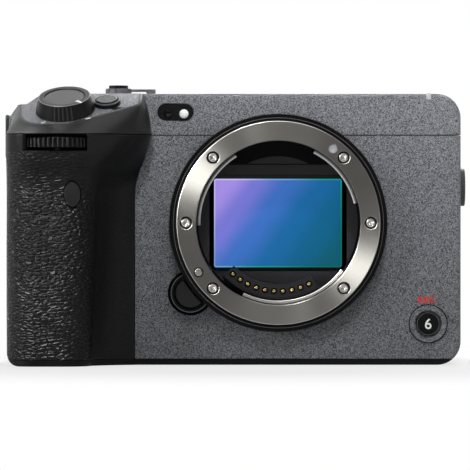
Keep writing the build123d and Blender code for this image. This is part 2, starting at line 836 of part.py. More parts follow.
shoulder_sections = [rim_plan(0.0, 0, shoulder_level(0.0)), rim_plan(0.35, 0, shoulder_level(0.5))]
shoulder_sections += [on_slope(0, rim_chamfer), on_slope(rim_chamfer, 0)]
shoulder = loft(shoulder_sections, ruled=True)
slope_plate = loft(
    [
        on_slope(plate_setback, plate_thickness, plate_rear_edge),
        on_slope(plate_setback, 0, plate_rear_edge),
    ],
    ruled=True,
)
slope_trim = casing(0, -nose_reach, plate_rear_edge)
shoulder = (shoulder & slope_trim) - slope_plate
slope_plate = slope_plate & slope_trim


def on_plate(place):
    """Frame on the sloping plate over a point in plan, its z out of the plate."""
    spot = (place[0], place[1], slope_height(*place))
    return Plane(origin=spot, x_dir=(1, 0, slope_side), z_dir=(-slope_side, -slope_back, 1))


# Shutter button in its lever ring, and the custom button beside it
dial_frame = on_plate(dial_place)
hub_radius = shutter_stem_radius + 0.9
lever_base, lever_floor = 0.15, 1.2
lever_ring = Pos(0, 0, (lever_base + dial_height) / 2) * Cone(
    dial_skirt_radius, dial_rim_radius, dial_height - lever_base
)
lever_room = shutter_disc_radius + button_clear
lever_high = dial_height + 1.0
lever_ring -= Pos(0, 0, (lever_floor + lever_high) / 2) * Cylinder(lever_room, lever_high - lever_floor)
lever_ring += Pos(0, 0, (lever_floor - hub_depth) / 2) * Cylinder(hub_radius, lever_floor + hub_depth)
lever_ring -= Cylinder(shutter_stem_radius + running_clear, far)
disc_top, disc_base = dial_height - 0.15, dial_height - 1.6
shutter_button = Pos(0, 0, (disc_top + disc_base) / 2) * Cylinder(shutter_disc_radius, disc_top - disc_base)
shutter_stem = Cylinder(shutter_stem_radius, disc_base + hub_depth)
shutter_button += Pos(0, 0, (disc_base - hub_depth) / 2) * shutter_stem
hub_room = Cylinder(hub_radius + running_clear, 2 * (hub_depth + shutter_travel + 0.4))
custom_frame = on_plate(custom_place)
custom_collar = Pos(0, 0, custom_height / 2 - 0.2) * Cylinder(custom_collar_radius, custom_height + 0.4)
custom_hole = custom_cap_radius + button_clear
custom_room = Pos(0, 0, custom_height / 2 - 1.5) * Cylinder(custom_hole, custom_height + 3.4)
custom_button = Pos(0, 0, custom_height + 0.3 - 1.6) * Cylinder(custom_cap_radius, 3.2)
shoulder -= dial_frame * hub_room
shoulder -= custom_frame * custom_room
slope_plate += custom_frame * custom_collar
slope_plate -= dial_frame * hub_room
slope_plate -= custom_frame * custom_room
lever_ring = dial_frame * lever_ring
shutter_button = dial_frame * shutter_button
custom_button = custom_frame * custom_button

# Covers cut from the casing: top, front and rear, with the mount's room through the first two
top_cover = case_shell & block(-far, far, -far, far, top_seam + seam / 2, far)
top_cover -= block(-far, grip_inner, -far, front_face + wall + 0.1, -far, slope_notch_top)
top_cover += slope_plate
front_cover = case_shell & block(grip_inner + skin_clear, far, -far, case_split, cover_base, cover_top)
rear_cover = case_shell & block(-far, far, case_split + seam, far, cover_base, cover_top)
rear_cover -= chamber
for x, y in base_screw_places:
    if y > case_split:
        rear_cover += rod_z(x, y, case_boss_radius, cover_base, cover_base + case_boss_height)
        rear_cover -= rod_z(x, y, screw_shank + running_clear, -far, cover_base + case_boss_height - 1.0)
mount_room = rod_y(0, 0, bezel_room, 0, chassis_front)
top_cover -= mount_room
front_cover -= mount_room
front_cover -= release_way

# Front record button in its raised collar
record_x, record_z = record_place
record_clear = record_cap_radius + button_clear
front_cover += rod_y(record_x, record_z, record_collar_radius, front_face - 0.7, front_face + 0.5)
record_under = front_face + wall + 0.1
front_cover -= rod_y(record_x, record_z, record_recess_radius, 0, front_face + 0.4)
front_cover -= rod_y(record_x, record_z, record_clear, 0, record_under)
record_button = rod_y(record_x, record_z, record_cap_radius, front_face - 0.4, record_under)
flange_reach = record_cap_radius + button_flange
record_button += rod_y(record_x, record_z, flange_reach, record_under, record_under + 0.6)

# Front window with its lamp lenses, and the tally lamp on the top edge
window_x, window_z = window_place
window_front = front_face + 0.25
window_form = Pos(window_x, window_z, 0) * SlotOverall(window_width, window_height)
window_hole = Pos(window_x, window_z, 0) * SlotOverall(window_width + 0.2, window_height + 0.2)
front_window = slab_y(window_form, window_front, front_face + wall)
top_cover -= slab_y(window_hole, 0, front_face + wall + 0.1)
lamp_lenses = []
for x, z, radius in window_lamps:
    front_window -= rod_y(x, z, radius + 0.02, 0, window_front + 0.6)
    lamp_lenses.append(rod_y(x, z, radius, window_front - 0.1, window_front + 0.6))
tally_low = body_top - tally_height
tally_rear = front_face + tally_depth
half_tally, half_tally_room = tally_width / 2, tally_width / 2 + 0.05
tally_lamp = Pos(tally_x, 0, 0) * block(
    -half_tally, half_tally, front_face - 0.1, tally_rear, tally_low, body_top + 0.1
)
top_cover -= Pos(tally_x, 0, 0) * block(
    -half_tally_room, half_tally_room, 0, tally_rear + 0.05, tally_low - 0.05, far
)

# Top: accessory shoe sunk in the cover and open to the rear, thread bushes, buttons, power lever, rear dial
shoe_top = body_top - 0.05
shoe_floor = shoe_top - shoe_rail - shoe_slot
shoe_low = shoe_floor - shoe_plate
shoe_front = shoe_middle - shoe_length / 2
shoe_rear = shoe_middle + shoe_length / 2
shoe_end = rear_face - 0.1
half_shoe = shoe_width / 2
top_cover -= block(-half_shoe - 0.1, half_shoe + 0.1, shoe_front - 0.1, far, shoe_low - 0.05, far)
accessory_shoe = block(-half_shoe, half_shoe, shoe_front, shoe_end, shoe_low, shoe_top)
shoe_stop = shoe_front + 1.2
half_opening, half_throat = shoe_opening / 2, shoe_throat / 2
accessory_shoe -= block(-half_opening, half_opening, shoe_stop, far, shoe_floor, shoe_top - shoe_rail)
accessory_shoe -= block(-half_throat, half_throat, shoe_stop, far, shoe_floor, far)
accessory_shoe -= block(-half_opening, half_opening, shoe_rear, far, shoe_floor, far)
thread_bushes = []
for x, y in top_bush_places:
    top_cover -= rod_z(x, y, bush_radius + 0.03, 0, far)
    bush = rod_z(x, y, bush_radius, body_top - bush_length, body_top)
    bush += rod_z(x, y, bush_radius + 1.2, body_top - bush_length, body_top - wall)
    thread_bushes.append(bush - rod_z(x, y, thread_radius, -far, far))


def top_button(x, y):
    """Button in the top cover, with a flange under the wall, and its hole."""
    flange_top = body_top - wall - 0.2
    flange_base = flange_top - 0.7
    cap = rod_z(x, y, top_button_radius, flange_base, body_top + top_button_proud)
    cap += rod_z(x, y, top_button_radius + button_flange, flange_base, flange_top)
    return cap, rod_z(x, y, top_button_radius + button_clear, 0, far)


top_record_button, record_hole = top_button(*top_record_place)
sensitivity_button, sensitivity_hole = top_button(*sensitivity_place)
top_cover -= record_hole
top_cover -= sensitivity_hole
power_x, power_y = power_place
lever_low = body_top + 0.15
lever_neck = power_ring_top - 0.9
tab_top = power_ring_top - 0.2
tab_end = power_x + power_arm_reach
power_lever = rod_z(power_x, power_y, power_ring_radius, lever_low, power_ring_top)
power_lever += block(power_x + 3.4, tab_end, power_y - 1.4, power_y + 1.4, lever_neck, tab_top)
power_lever += block(tab_end - 2.6, tab_end, power_y - 1.6, power_y + 1.6, lever_neck - 0.5, tab_top)
power_lever += rod_z(power_x, power_y, power_hub_radius, body_top - wall - 1.4, lever_low)
cap_room = power_cap_radius + button_clear
cap_floor = body_top + 0.9
power_lever -= rod_z(power_x, power_y, cap_room, cap_floor, far)
power_lever -= rod_z(power_x, power_y, power_stem_radius + running_clear, 0, far)
lever_cap = rod_z(power_x, power_y, power_cap_radius, cap_floor + 0.7, power_cap_top)
lever_cap += rod_z(power_x, power_y, power_stem_radius, body_top - wall - 1.4, cap_floor + 0.7)
top_cover -= rod_z(power_x, power_y, power_hub_radius + running_clear, 0, far)
rear_dial_y = rear_face - rear_dial_setback
half_rear_dial = rear_dial_thickness / 2
rear_dial = toothed_disc(rear_dial_radius, ridge_depth, rear_dial_ridges, rear_dial_thickness)
rear_dial = Pos(rear_dial_x, rear_dial_y, rear_dial_height) * rear_dial
rear_dial += rod_z(rear_dial_x, rear_dial_y, 1.5, rear_dial_height, body_top - wall - 0.05)
dial_slot_half = (rear_dial_radius**2 - (rear_face - wall - rear_dial_y) ** 2) ** 0.5 + 0.4
top_cover -= block(
    rear_dial_x - dial_slot_half,
    rear_dial_x + dial_slot_half,
    rear_face - wall - 0.1,
    far,
    rear_dial_height - half_rear_dial - 0.2,
    rear_dial_height + half_rear_dial + 0.2,
)


# Buttons, stick and wheel behind the grip, each through its hole in the rear wall
inner_wall = rear_face - wall


def rear_button(place, radius, proud):
    """Button in the rear cover, with a flange inside the wall."""
    x, z = place
    cap = rod_y(x, z, radius, inner_wall - 0.9, rear_face + proud)
    cap = fillet(edges_at_depth(cap, rear_face + proud), 0.3)
    cap += rod_y(x, z, radius + button_flange, inner_wall - 0.9, inner_wall - 0.2)
    return cap, rod_y(x, z, radius + button_clear, case_split, far)


menu_button, menu_hole = rear_button(menu_place, rear_button_radius, 0.6)
rear_cover -= menu_hole
stick_x, stick_z = joystick_place
stick_pivot = inner_wall - 1.0
gimbal = rod_y(stick_x, stick_z, gimbal_radius, stick_pivot - gimbal_half, stick_pivot + gimbal_half)
gimbal += rod_x(stick_pivot, stick_z, stick_pin_radius, stick_x - stick_lug_x, stick_x + stick_lug_x)
gimbal -= rod_y(stick_x, stick_z, stick_ball_radius + 0.3, 0, far)
stick_bearing = stick_pin_radius + running_clear
stick_pin_reach = 2.8
stick_room = stick_pin_reach + 0.1
stick_front, stick_rear = rear_face + 1.1, rear_face + 2.6
joystick = rod_y(stick_x, stick_z, stick_radius, stick_pivot - 0.9, stick_front + 0.1)
joystick += Pos(stick_x, stick_pivot, stick_z) * Sphere(stick_ball_radius)
pin_low, pin_high = stick_z - stick_pin_reach, stick_z + stick_pin_reach
joystick += rod_z(stick_x, stick_pivot, stick_pin_radius, pin_low, pin_high)
gimbal -= rod_z(stick_x, stick_pivot, stick_bearing, stick_z - stick_room, stick_z + stick_room)
joystick += rod_y(stick_x, stick_z, stick_cap_radius, stick_front, stick_rear)
joystick = fillet(edges_at_depth(joystick, stick_rear), 0.5)
rear_cover -= rod_y(stick_x, stick_z, stick_hole, case_split, far)
for side in (-1, 1):
    near, distant = sorted((stick_x + side * (gimbal_radius + 0.4), stick_x + side * (stick_lug_x + 0.6)))
    rear_cover += block(near, distant, stick_pivot - 1.3, inner_wall + 0.1, stick_z - 1.4, stick_z + 1.4)
stick_reach = stick_lug_x + 0.1
rear_cover -= rod_x(stick_pivot, stick_z, stick_bearing, stick_x - stick_reach, stick_x + stick_reach)
wheel_x, wheel_z = wheel_place
wheel_rear = rear_face + wheel_proud
control_wheel = rod_y(wheel_x, wheel_z, wheel_radius, rear_face + 0.15, wheel_rear)
control_wheel = fillet(edges_at_depth(control_wheel, wheel_rear), 0.6)
control_wheel += rod_y(wheel_x, wheel_z, wheel_hub_radius, inner_wall - 0.7, rear_face + 0.15)
wheel_bore = centre_radius + button_clear
control_wheel -= rod_y(wheel_x, wheel_z, wheel_bore, 0, far)
centre_rear = wheel_rear + 0.3
centre_button = rod_y(wheel_x, wheel_z, centre_radius, inner_wall - 0.7, centre_rear)
centre_button = fillet(edges_at_depth(centre_button, centre_rear), 0.4)
rear_cover -= rod_y(wheel_x, wheel_z, wheel_hub_radius + running_clear, case_split, far)
thumb_rear = rear_face + thumb_depth
thumb_rest = block(thumb_left, thumb_right, rear_face, thumb_rear, thumb_base, thumb_top)
thumb_rest = fillet(thumb_rest.edges().filter_by(Axis.Y), 3.0)
thumb_rest = fillet(edges_at_depth(thumb_rest, thumb_rear), 2.4)

# Card slots behind the battery, and their door in the left wall
card_low, card_high = card_door[2:]
slots_front = battery_rear + 0.5
slots_rear = slots_front + 7.6
slots_inner = -41.0
card_width, card_thickness, card_pitch = 24.2, 2.3, 3.0
slots_left, slots_base, slots_top = body_left + wall + 0.4, card_low + 1.0, card_high - 8.0
card_slots = block(slots_left, slots_inner, slots_front, slots_rear, slots_base, slots_top)
slot_base = card_low + 2.0
for i in range(2):
    card_y = slots_front + 1.2 + i * card_pitch
    card_rear = card_y + card_thickness
    card_slots -= block(-far, slots_inner - 3.0, card_y, card_rear, slot_base, slot_base + card_width)


def side_door(bounds, outer, inward, hinge_at_rear):
    """Flush door in a side wall, hinged on an upright edge: the door, its window and its pivot holes."""
    y0, y1, z0, z1 = bounds
    low, high = sorted((outer, outer + inward * door_thickness))
    middle = (low + high) / 2
    half = door_thickness / 2
    pivot_y = y1 - door_clear - half if hinge_at_rear else y0 + door_clear + half
    free_y = y0 + door_clear if hinge_at_rear else y1 - door_clear
    near, distant = sorted((pivot_y, free_y))
    door = block(low, high, near, distant, z0 + door_clear, z1 - door_clear)
    door += rod_z(middle, pivot_y, half, z0 + door_clear, z1 - door_clear)
    door += rod_z(middle, pivot_y, pivot_radius, z0 - pivot_length, z1 + pivot_length)
    hollow = pivot_radius + running_clear
    window = block(low - 1, high + 1, y0, y1, z0, z1)
    window += rod_z(middle, pivot_y, hollow, z0 - pivot_length - 0.2, z1 + pivot_length + 0.2)
    return door, window


card_flap, card_window = side_door(card_door, body_left, 1, False)
jack_flap, jack_window = side_door(jack_door, body_right, -1, True)
data_flap, data_window = side_door(data_door, body_right, -1, True)
rear_cover -= card_window
front_cover -= jack_window
front_cover -= data_window

# Sockets behind the right doors
socket_face = body_right - door_thickness - 0.5
socket_floor = socket_inner + 1.5
sockets = []
jack_y0, jack_y1, jack_z0, jack_z1 = jack_door
jack_body = block(socket_inner, socket_face, jack_y0 + 1, jack_y1 - 1, jack_z0 + 0.5, jack_z1 - 0.5)
jack_mid = (jack_z0 + jack_z1) / 2
for y in (jack_y0 + 4.0, jack_y1 - 4.0):
    jack_body -= rod_x(y, jack_mid, jack_radius, socket_floor, far)
sockets.append(jack_body)
data_y0, data_y1, data_z0, data_z1 = data_door
data_body = block(socket_inner, socket_face, data_y0 + 1, data_y1 - 1, data_z0 + 0.5, data_z1 - 0.5)
data_mid = (data_y0 + data_y1) / 2
port_half, port_low, port_high = data_port
data_body -= block(
    socket_floor, far, data_mid - port_half, data_mid + port_half, data_z0 + port_low, data_z0 + port_high
)
sockets.append(data_body)

# Side thread bushes, and the fan's outlet slots in the right wall
bush_y, bush_z = side_bush_right
side_bush = rod_x(bush_y, bush_z, side_boss_radius, body_right - wall, body_right + side_boss_proud)
side_bush += rod_x(bush_y, bush_z, side_boss_radius + 1.0, body_right - bush_length, body_right - wall)
thread_bushes.append(side_bush - rod_x(bush_y, bush_z, thread_radius, 0, far))
front_cover -= rod_x(bush_y, bush_z, side_boss_radius + 0.03, 0, far)
chassis -= rod_x(bush_y, bush_z, side_boss_radius + 1.05, body_right - bush_length - 0.05, far)
plate_y, plate_z = side_bush_left
side_plate = block(
    body_left - side_plate_proud,
    body_left,
    plate_y - side_plate_length / 2,
    plate_y + side_plate_length / 2,
    plate_z - side_plate_height / 2,
    plate_z + side_plate_height / 2,
)
side_plate = fillet(side_plate.edges().filter_by(Axis.X), 1.6)
left_bush_end = body_left + bush_length - side_plate_proud
left_bush = rod_x(plate_y, plate_z, bush_radius, body_left, left_bush_end)
left_bush = (side_plate + left_bush) - rod_x(plate_y, plate_z, thread_radius, -far, 0)
thread_bushes.append(left_bush)
left_room = rod_x(plate_y, plate_z, bush_radius + 0.03, -far, left_bush_end + 0.05)
top_cover -= left_room
grip_core -= left_room
grip_skin -= left_room
grip_skin -= block(-far, body_left + 0.02, plate_y - 7, plate_y + 7, plate_z - 8, far)
for i in range(vent_count):
    slot_z = fan_z + (i - (vent_count - 1) / 2) * vent_pitch
    rear_cover -= block(
        body_right - wall - 1, far, outlet_front, outlet_rear, slot_z - vent_half, slot_z + vent_half
    )

# Monitor on its upright hinge: fixed ears and pin, then the arm, case and glass that swing together
hinge_y = rear_face + hinge_setout
monitor_front = rear_face + monitor_gap
monitor_rear = monitor_front + monitor_thickness
ears = []
for side in (-1, 1):
    low, high = sorted((side * (hinge_half + ear_gap), side * (hinge_half + ear_gap + ear_height)))
    ear = rod_z(hinge_x, hinge_y, hinge_radius, low, high)
    ear += block(hinge_x - hinge_radius, hinge_x + hinge_radius, rear_face, hinge_y, low, high)
    ears.append(ear)
pin_reach = hinge_half + ear_height - 0.5
hinge_pin = rod_z(hinge_x, hinge_y, hinge_pin_radius, -pin_reach, pin_reach)
rear_cover = rear_cover + ears[0] + ears[1] + hinge_pin
monitor_right = hinge_x - hinge_radius - 0.6
monitor_arm = rod_z(hinge_x, hinge_y, hinge_radius, -hinge_half, hinge_half)
monitor_arm += block(monitor_right + 0.1, hinge_x, hinge_y - 2.5, hinge_y + 2.5, -hinge_half, hinge_half)
monitor_arm -= rod_z(hinge_x, hinge_y, hinge_pin_radius + running_clear, -far, far)
monitor_arm += rod_x(hinge_y, 0, arm_spigot_radius, monitor_right - arm_spigot_length, monitor_right + 0.2)
monitor_case = block(monitor_left, monitor_right, monitor_front, monitor_rear, monitor_base, monitor_top)
monitor_case = fillet(monitor_case.edges().filter_by(Axis.Y), monitor_round)
monitor_case = fillet(edges_at_depth(monitor_case, monitor_rear), 0.8)
spigot_room = arm_spigot_radius + running_clear
monitor_case -= rod_x(hinge_y, 0, spigot_room, monitor_right - arm_spigot_length - 0.2, far)


def screen_block(rear, clear):
    """The screen's pane, or its recess with a little clearance."""
    margin = screen_margin - clear
    left, right = monitor_left + margin, monitor_right - margin
    low, high = monitor_base + margin, monitor_top - margin
    return block(left, right, monitor_rear - screen_thickness, rear, low, high)


screen = screen_block(monitor_rear, 0)
monitor_case -= screen_block(far, 0.05)
for x, z in grip_screw_places:
    rear_cover -= rod_y(x, z, screw_head + 0.2, rear_face - screw_sink - screw_head_depth, far)
    rear_cover -= rod_y(x, z, screw_shank + running_clear, 0, far)
    screw = screw_y(x, z, screw_head, screw_shank, 0, screw_head_depth, screw_length)
    turned = Pos(x, rear_face - screw_sink, z) * Rot(0, 0, 180) * Pos(-x, 0, -z) * screw
    case_screws.append(turned)

save("front_cover", front_cover)
save("top_cover", top_cover)
save("rear_cover", rear_cover)
save("base_plate", base_plate)
save("grip_core", grip_core)
save("grip_skin", grip_skin)
save("grip_shoulder", shoulder)
save("chassis", chassis)
save("lens_mount_ring", mount_ring)
save("mount_bezel", bezel)
save("mount_screws", *mount_screws)
save("light_baffle", baffle)
save("contact_block", contact_block)
save("contact_pins", *contact_pins)
save("release_button", release_cap)
save("lock_pin", lock_pin)
save("shutter_frame", shutter_frame)
save("shutter_blade_first", first_blade)
save("shutter_blade_second", second_blade)
save("sensor_glass", sensor_glass)
save("image_sensor", package)
save("sensor_stage", stage)
save("sensor_frame", stage_frame)
save("stabiliser_base", stage_base)
save("heat_sink", heat_sink)
save("main_board", main_board)
save("fan_housing", fan_housing)
save("fan_rotor", fan_rotor)
save("card_slots", card_slots)
save("card_door", card_flap)
save("battery", battery)
save("battery_door", battery_door)
save("battery_latch", battery_latch)
save("sockets", *sockets)
save("jack_door", jack_flap)
save("data_door", data_flap)
save("accessory_shoe", accessory_shoe)
save("thread_bushes", *thread_bushes, tripod_bush)
save("case_screws", *case_screws)
save("front_window", front_window)
save("lamp_lenses", *lamp_lenses, tally_lamp)
save("shutter_button", shutter_button)
save("shutter_lever", lever_ring)
save("front_dial", front_dial)
save("custom_button", custom_button)
save("front_record_button", record_button)
save("top_record_button", top_record_button)
save("sensitivity_button", sensitivity_button)
save("power_lever", power_lever)
save("lever_cap_button", lever_cap)
save("rear_dial", rear_dial)
save("joystick_gimbal", gimbal)
save("joystick", joystick)
save("control_wheel", control_wheel)
save("centre_button", centre_button)
save("menu_button", menu_button)
save("thumb_rest", thumb_rest)
save("monitor_arm", monitor_arm)
save("monitor_case", monitor_case)
save("monitor_glass", screen)
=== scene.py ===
import math
import bmesh
import bpy
import numpy as np
from mathutils import Matrix, Vector


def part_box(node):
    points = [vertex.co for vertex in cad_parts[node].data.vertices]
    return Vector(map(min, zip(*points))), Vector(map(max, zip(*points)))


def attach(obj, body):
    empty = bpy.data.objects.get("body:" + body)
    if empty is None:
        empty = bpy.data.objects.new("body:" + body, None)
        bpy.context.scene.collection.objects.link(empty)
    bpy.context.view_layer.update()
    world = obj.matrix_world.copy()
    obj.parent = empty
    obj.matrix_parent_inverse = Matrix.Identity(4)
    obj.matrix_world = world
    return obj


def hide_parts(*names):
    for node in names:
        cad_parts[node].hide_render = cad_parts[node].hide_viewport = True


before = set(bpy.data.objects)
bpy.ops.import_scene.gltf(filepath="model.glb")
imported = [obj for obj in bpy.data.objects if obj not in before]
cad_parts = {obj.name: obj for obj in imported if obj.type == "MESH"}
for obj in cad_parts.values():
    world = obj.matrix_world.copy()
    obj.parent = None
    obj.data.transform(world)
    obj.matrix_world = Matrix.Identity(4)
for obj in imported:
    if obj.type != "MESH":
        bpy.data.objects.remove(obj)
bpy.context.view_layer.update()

# Studio: pale floor, white surround, a long narrow-beamed strip box in front and above, and a tall box over the left
# shoulder. Two small boxes reach only the mount's metal and one only the grip and its lever. All is set for the
# front view, with the camera 1.3 m away.
def placed(name, data):
    """New object in the scene."""
    thing = bpy.data.objects.new(name, data)
    scene.collection.objects.link(thing)
    return thing


def add_node(tree, kind, inputs=None, **settings):
    """New node with its settings. An input is a plain value or the socket that feeds it."""
    made = tree.nodes.new(kind)
    for label, value in settings.items():
        setattr(made, label, value)
    for label, value in (inputs or {}).items():
        if isinstance(value, bpy.types.NodeSocket):
            tree.links.new(value, made.inputs[label])
        else:
            made.inputs[label].default_value = value
    return made


def calculate(tree, operation, first, second=0.0, clamp=False):
    """Result of a math node whose inputs are sockets or plain numbers."""
    return add_node(tree, "ShaderNodeMath", {0: first, 1: second}, operation=operation, use_clamp=clamp).outputs[0]


def soft_box(name, place, aim, width, height, watts, spread=180.0):
    """Rectangular lamp at a place, turned to its aim and hidden from the camera."""
    lamp = bpy.data.lights.new(name, "AREA")
    lamp.shape = "RECTANGLE"
    lamp.size, lamp.size_y, lamp.energy = width, height, watts
    lamp.spread = math.radians(spread)
    box = placed(name, lamp)
    box.location = place
    box.rotation_euler = (Vector(aim) - Vector(place)).to_track_quat("-Z", "Y").to_euler()
    box.visible_camera = False
    return box


scene = bpy.context.scene
scene.view_settings.view_transform = "Standard"
mm = 0.001
camera_distance, half_view = 1.3, 0.0658
camera_data = bpy.data.cameras.new("camera")
camera_data.sensor_width = 36.0
camera_data.lens = 18.0 * camera_distance / half_view
camera = placed("camera", camera_data)
camera.location = (-12.15 * mm, -camera_distance, -3.39 * mm)
camera.rotation_euler = (math.radians(90), 0, 0)
scene.camera = camera

centre = (0.0, 0.0, 0.0)
strip = soft_box("front_strip", (-0.05, -0.64, 0.78), (-0.02, 0.0, 0.118), 1.10, 0.07, 0.85, 10.0)
strip.visible_glossy = False
soft_box("high_front", (0.16, -0.72, 0.95), centre, 0.60, 0.30, 2.6)
soft_box("key_left", (-1.05, -0.50, 0.24), centre, 0.12, 0.50, 0.5, 60.0)
soft_box("top_panel", (-0.05, -0.30, 1.25), centre, 1.30, 0.50, 2.5)
soft_box("right_fill", (1.10, -0.45, -0.06), centre, 0.12, 0.60, 0.3)
soft_box("back_fill", (0.30, 1.20, 0.80), centre, 0.80, 0.60, 10.0)
ring_light = soft_box("ring_light", (-0.86, -0.90, 0.54), centre, 0.20, 0.42, 45.0)
ring_glow = soft_box("ring_glow", (-0.28, -0.30, 1.10), centre, 0.20, 0.20, 9.0)
glint = soft_box("glint", (-0.42, -0.66, 0.80), (-0.06, 0.0, 0.0), 0.35, 0.22, 26.0)
for lamp in (ring_light, ring_glow, glint):
    lamp.visible_diffuse = False

world = bpy.data.worlds.new("studio")
world.use_nodes = True
scene.world = world
tree = world.node_tree
tree.nodes.clear()
rays = add_node(tree, "ShaderNodeLightPath").outputs
split = add_node(tree, "ShaderNodeSeparateXYZ", {0: add_node(tree, "ShaderNodeTexCoord").outputs["Generated"]})
behind = add_node(tree, "ShaderNodeMapRange", {
    "Value": split.outputs["Y"], "From Min": -0.1, "From Max": 0.55, "To Min": 0.06, "To Max": 1.0,
})
mirror_rays = calculate(tree, "MAXIMUM", rays["Is Glossy Ray"], rays["Is Transmission Ray"])
level = add_node(tree, "ShaderNodeMix", {"Factor": mirror_rays, "A": 0.30, "B": behind.outputs["Result"]})
white = add_node(tree, "ShaderNodeMix", {"Factor": rays["Is Camera Ray"], "A": level.outputs["Result"], "B": 1.0})
sky = add_node(tree, "ShaderNodeBackground", {"Color": (1, 1, 1, 1), "Strength": white.outputs["Result"]})
add_node(tree, "ShaderNodeOutputWorld", {"Surface": sky.outputs[0]})

floor_gap, floor_half = 0.00005, 3
floor_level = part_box("base_plate")[0].z - floor_gap
floor_mesh = bpy.data.meshes.new("floor")
floor_mesh.from_pydata(
    [(x * floor_half, y * floor_half, floor_level) for x, y in ((-1, -1), (1, -1), (1, 1), (-1, 1))], [], [(0, 1, 2, 3)]
)
floor = placed("floor", floor_mesh)
paper = bpy.data.materials.new("paper")
paper.use_nodes = True
tree = paper.node_tree
shader = tree.nodes["Principled BSDF"]
for label, value in (("Base Color", (0.70, 0.70, 0.70, 1)), ("Roughness", 0.9), ("Specular IOR Level", 0.1)):
    shader.inputs[label].default_value = value
rays = add_node(tree, "ShaderNodeLightPath").outputs
seen = calculate(tree, "MAXIMUM", rays["Is Camera Ray"], calculate(tree, "MULTIPLY", rays["Is Glossy Ray"], 0.2))
seen = calculate(tree, "MAXIMUM", seen, rays["Is Transmission Ray"])
place = add_node(tree, "ShaderNodeTexCoord").outputs["Object"]
reach = add_node(tree, "ShaderNodeVectorMath", {0: place}, operation="LENGTH").outputs["Value"]
fade = add_node(
    tree, "ShaderNodeMapRange", {"Value": reach, "From Min": 0.07, "From Max": 0.20, "To Min": 0.70},
    interpolation_type="SMOOTHSTEP",
)
share = calculate(tree, "MULTIPLY", fade.outputs["Result"], seen)
glow = add_node(tree, "ShaderNodeEmission")
blend = add_node(tree, "ShaderNodeMixShader", {0: share, 1: shader.outputs[0], 2: glow.outputs[0]})
tree.links.new(blend.outputs[0], tree.nodes["Material Output"].inputs["Surface"])
floor_mesh.materials.append(paper)


# Covers: cast alloy in three parts, front, top and rear, screwed together and finished in a hard grey paint full
# of fine light and dark flecks. The edges are lightly broken, which catches the light along the top.
def tone(red, green, blue):
    """Linear colour from screen values of 0 to 255."""
    values = []
    for value in (red, green, blue):
        value /= 255
        values.append(value / 12.92 if value <= 0.04045 else ((value + 0.055) / 1.055) ** 2.4)
    return (*values, 1.0)


def shader_group(name, inputs, outputs):
    """Empty shader node group with float inputs and outputs of the given names."""
    group = bpy.data.node_groups.new(name, "ShaderNodeTree")
    for label, value in inputs.items():
        group.interface.new_socket(label, in_out="INPUT", socket_type="NodeSocketFloat").default_value = value
    for label in outputs:
        group.interface.new_socket(label, in_out="OUTPUT", socket_type="NodeSocketFloat")
    return group, group.nodes.new("NodeGroupInput"), group.nodes.new("NodeGroupOutput")


def new_finish(name, colour, roughness, specular=0.5, **sockets):
    """Material with a Principled shader, its constants set on the shader's own sockets."""
    finish = bpy.data.materials.new(name)
    finish.use_nodes = True
    shader = finish.node_tree.nodes["Principled BSDF"]
    constants = {"Base Color": colour, "Roughness": roughness, "Specular IOR Level": specular, **sockets}
    for label, value in constants.items():
        shader.inputs[label.replace("_", " ")].default_value = value
    finish.diffuse_color = colour
    return finish, finish.node_tree, shader


def mix_colours(tree, shader, factor, first, second):
    """Base colour that runs between two screen colours. Sockets 6, 7 and 2 are the Mix node's colour ones."""
    mix = add_node(tree, "ShaderNodeMix", {0: factor, 6: tone(*first), 7: tone(*second)}, data_type="RGBA")
    tree.links.new(mix.outputs[2], shader.inputs["Base Color"])


def bump(tree, shader, height, strength, distance):
    """Relief from a height, on the shader's normal."""
    relief = add_node(tree, "ShaderNodeBump", {"Height": height, "Strength": strength, "Distance": distance})
    tree.links.new(relief.outputs["Normal"], shader.inputs["Normal"])


speckle, entry, leave = shader_group("speckle", {"Scale": 3000.0, "Contrast": 3.0}, ("Fleck", "Cloud"))
place = add_node(speckle, "ShaderNodeTexCoord").outputs["Object"]
fine = add_node(speckle, "ShaderNodeTexNoise", {
    "Vector": place, "Scale": entry.outputs["Scale"], "Detail": 1.5, "Roughness": 0.7,
})
broad = add_node(speckle, "ShaderNodeTexNoise", {"Vector": place, "Scale": 60.0, "Detail": 2.0})
fleck = calculate(speckle, "SUBTRACT", fine.outputs[0], 0.5)
fleck = calculate(speckle, "MULTIPLY", fleck, entry.outputs["Contrast"])
fleck = calculate(speckle, "ADD", fleck, 0.5, clamp=True)
speckle.links.new(fleck, leave.inputs["Fleck"])
speckle.links.new(broad.outputs[0], leave.inputs["Cloud"])


def speckled(tree, scale, contrast):
    """The speckle group placed in a material with its own grain."""
    return add_node(tree, "ShaderNodeGroup", {"Scale": scale, "Contrast": contrast}, node_tree=speckle)


def grained_finish(name, dark, light, roughness, scale, contrast, strength=0.1, relief=0.00001, **sockets):
    """Finish whose colour, between two screen colours, and relief both follow the fine grain."""
    finish, tree, shader = new_finish(name, tone(*dark), roughness, **sockets)
    grain = speckled(tree, scale, contrast).outputs["Fleck"]
    mix_colours(tree, shader, grain, dark, light)
    bump(tree, shader, grain, strength, relief)
    return finish


def to_plain(piece):
    """The evaluated piece as a plain mesh at the origin, its modifiers gone."""
    graph = bpy.context.evaluated_depsgraph_get()
    mesh = bpy.data.meshes.new_from_object(piece.evaluated_get(graph))
    piece.modifiers.clear()
    piece.data = mesh
    return mesh


def hand_over(piece, slot, body, *nodes):
    """The piece hung on its body, with the CAD nodes it stands for hidden. The slot is not used."""
    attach(piece, body)
    if nodes:
        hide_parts(*nodes)
    return piece


def flattened(shape):
    """Faces that lie in one plane made one."""
    bmesh.ops.dissolve_limit(
        shape, angle_limit=math.radians(0.5), verts=shape.verts, edges=shape.edges, use_dissolve_boundaries=False
    )


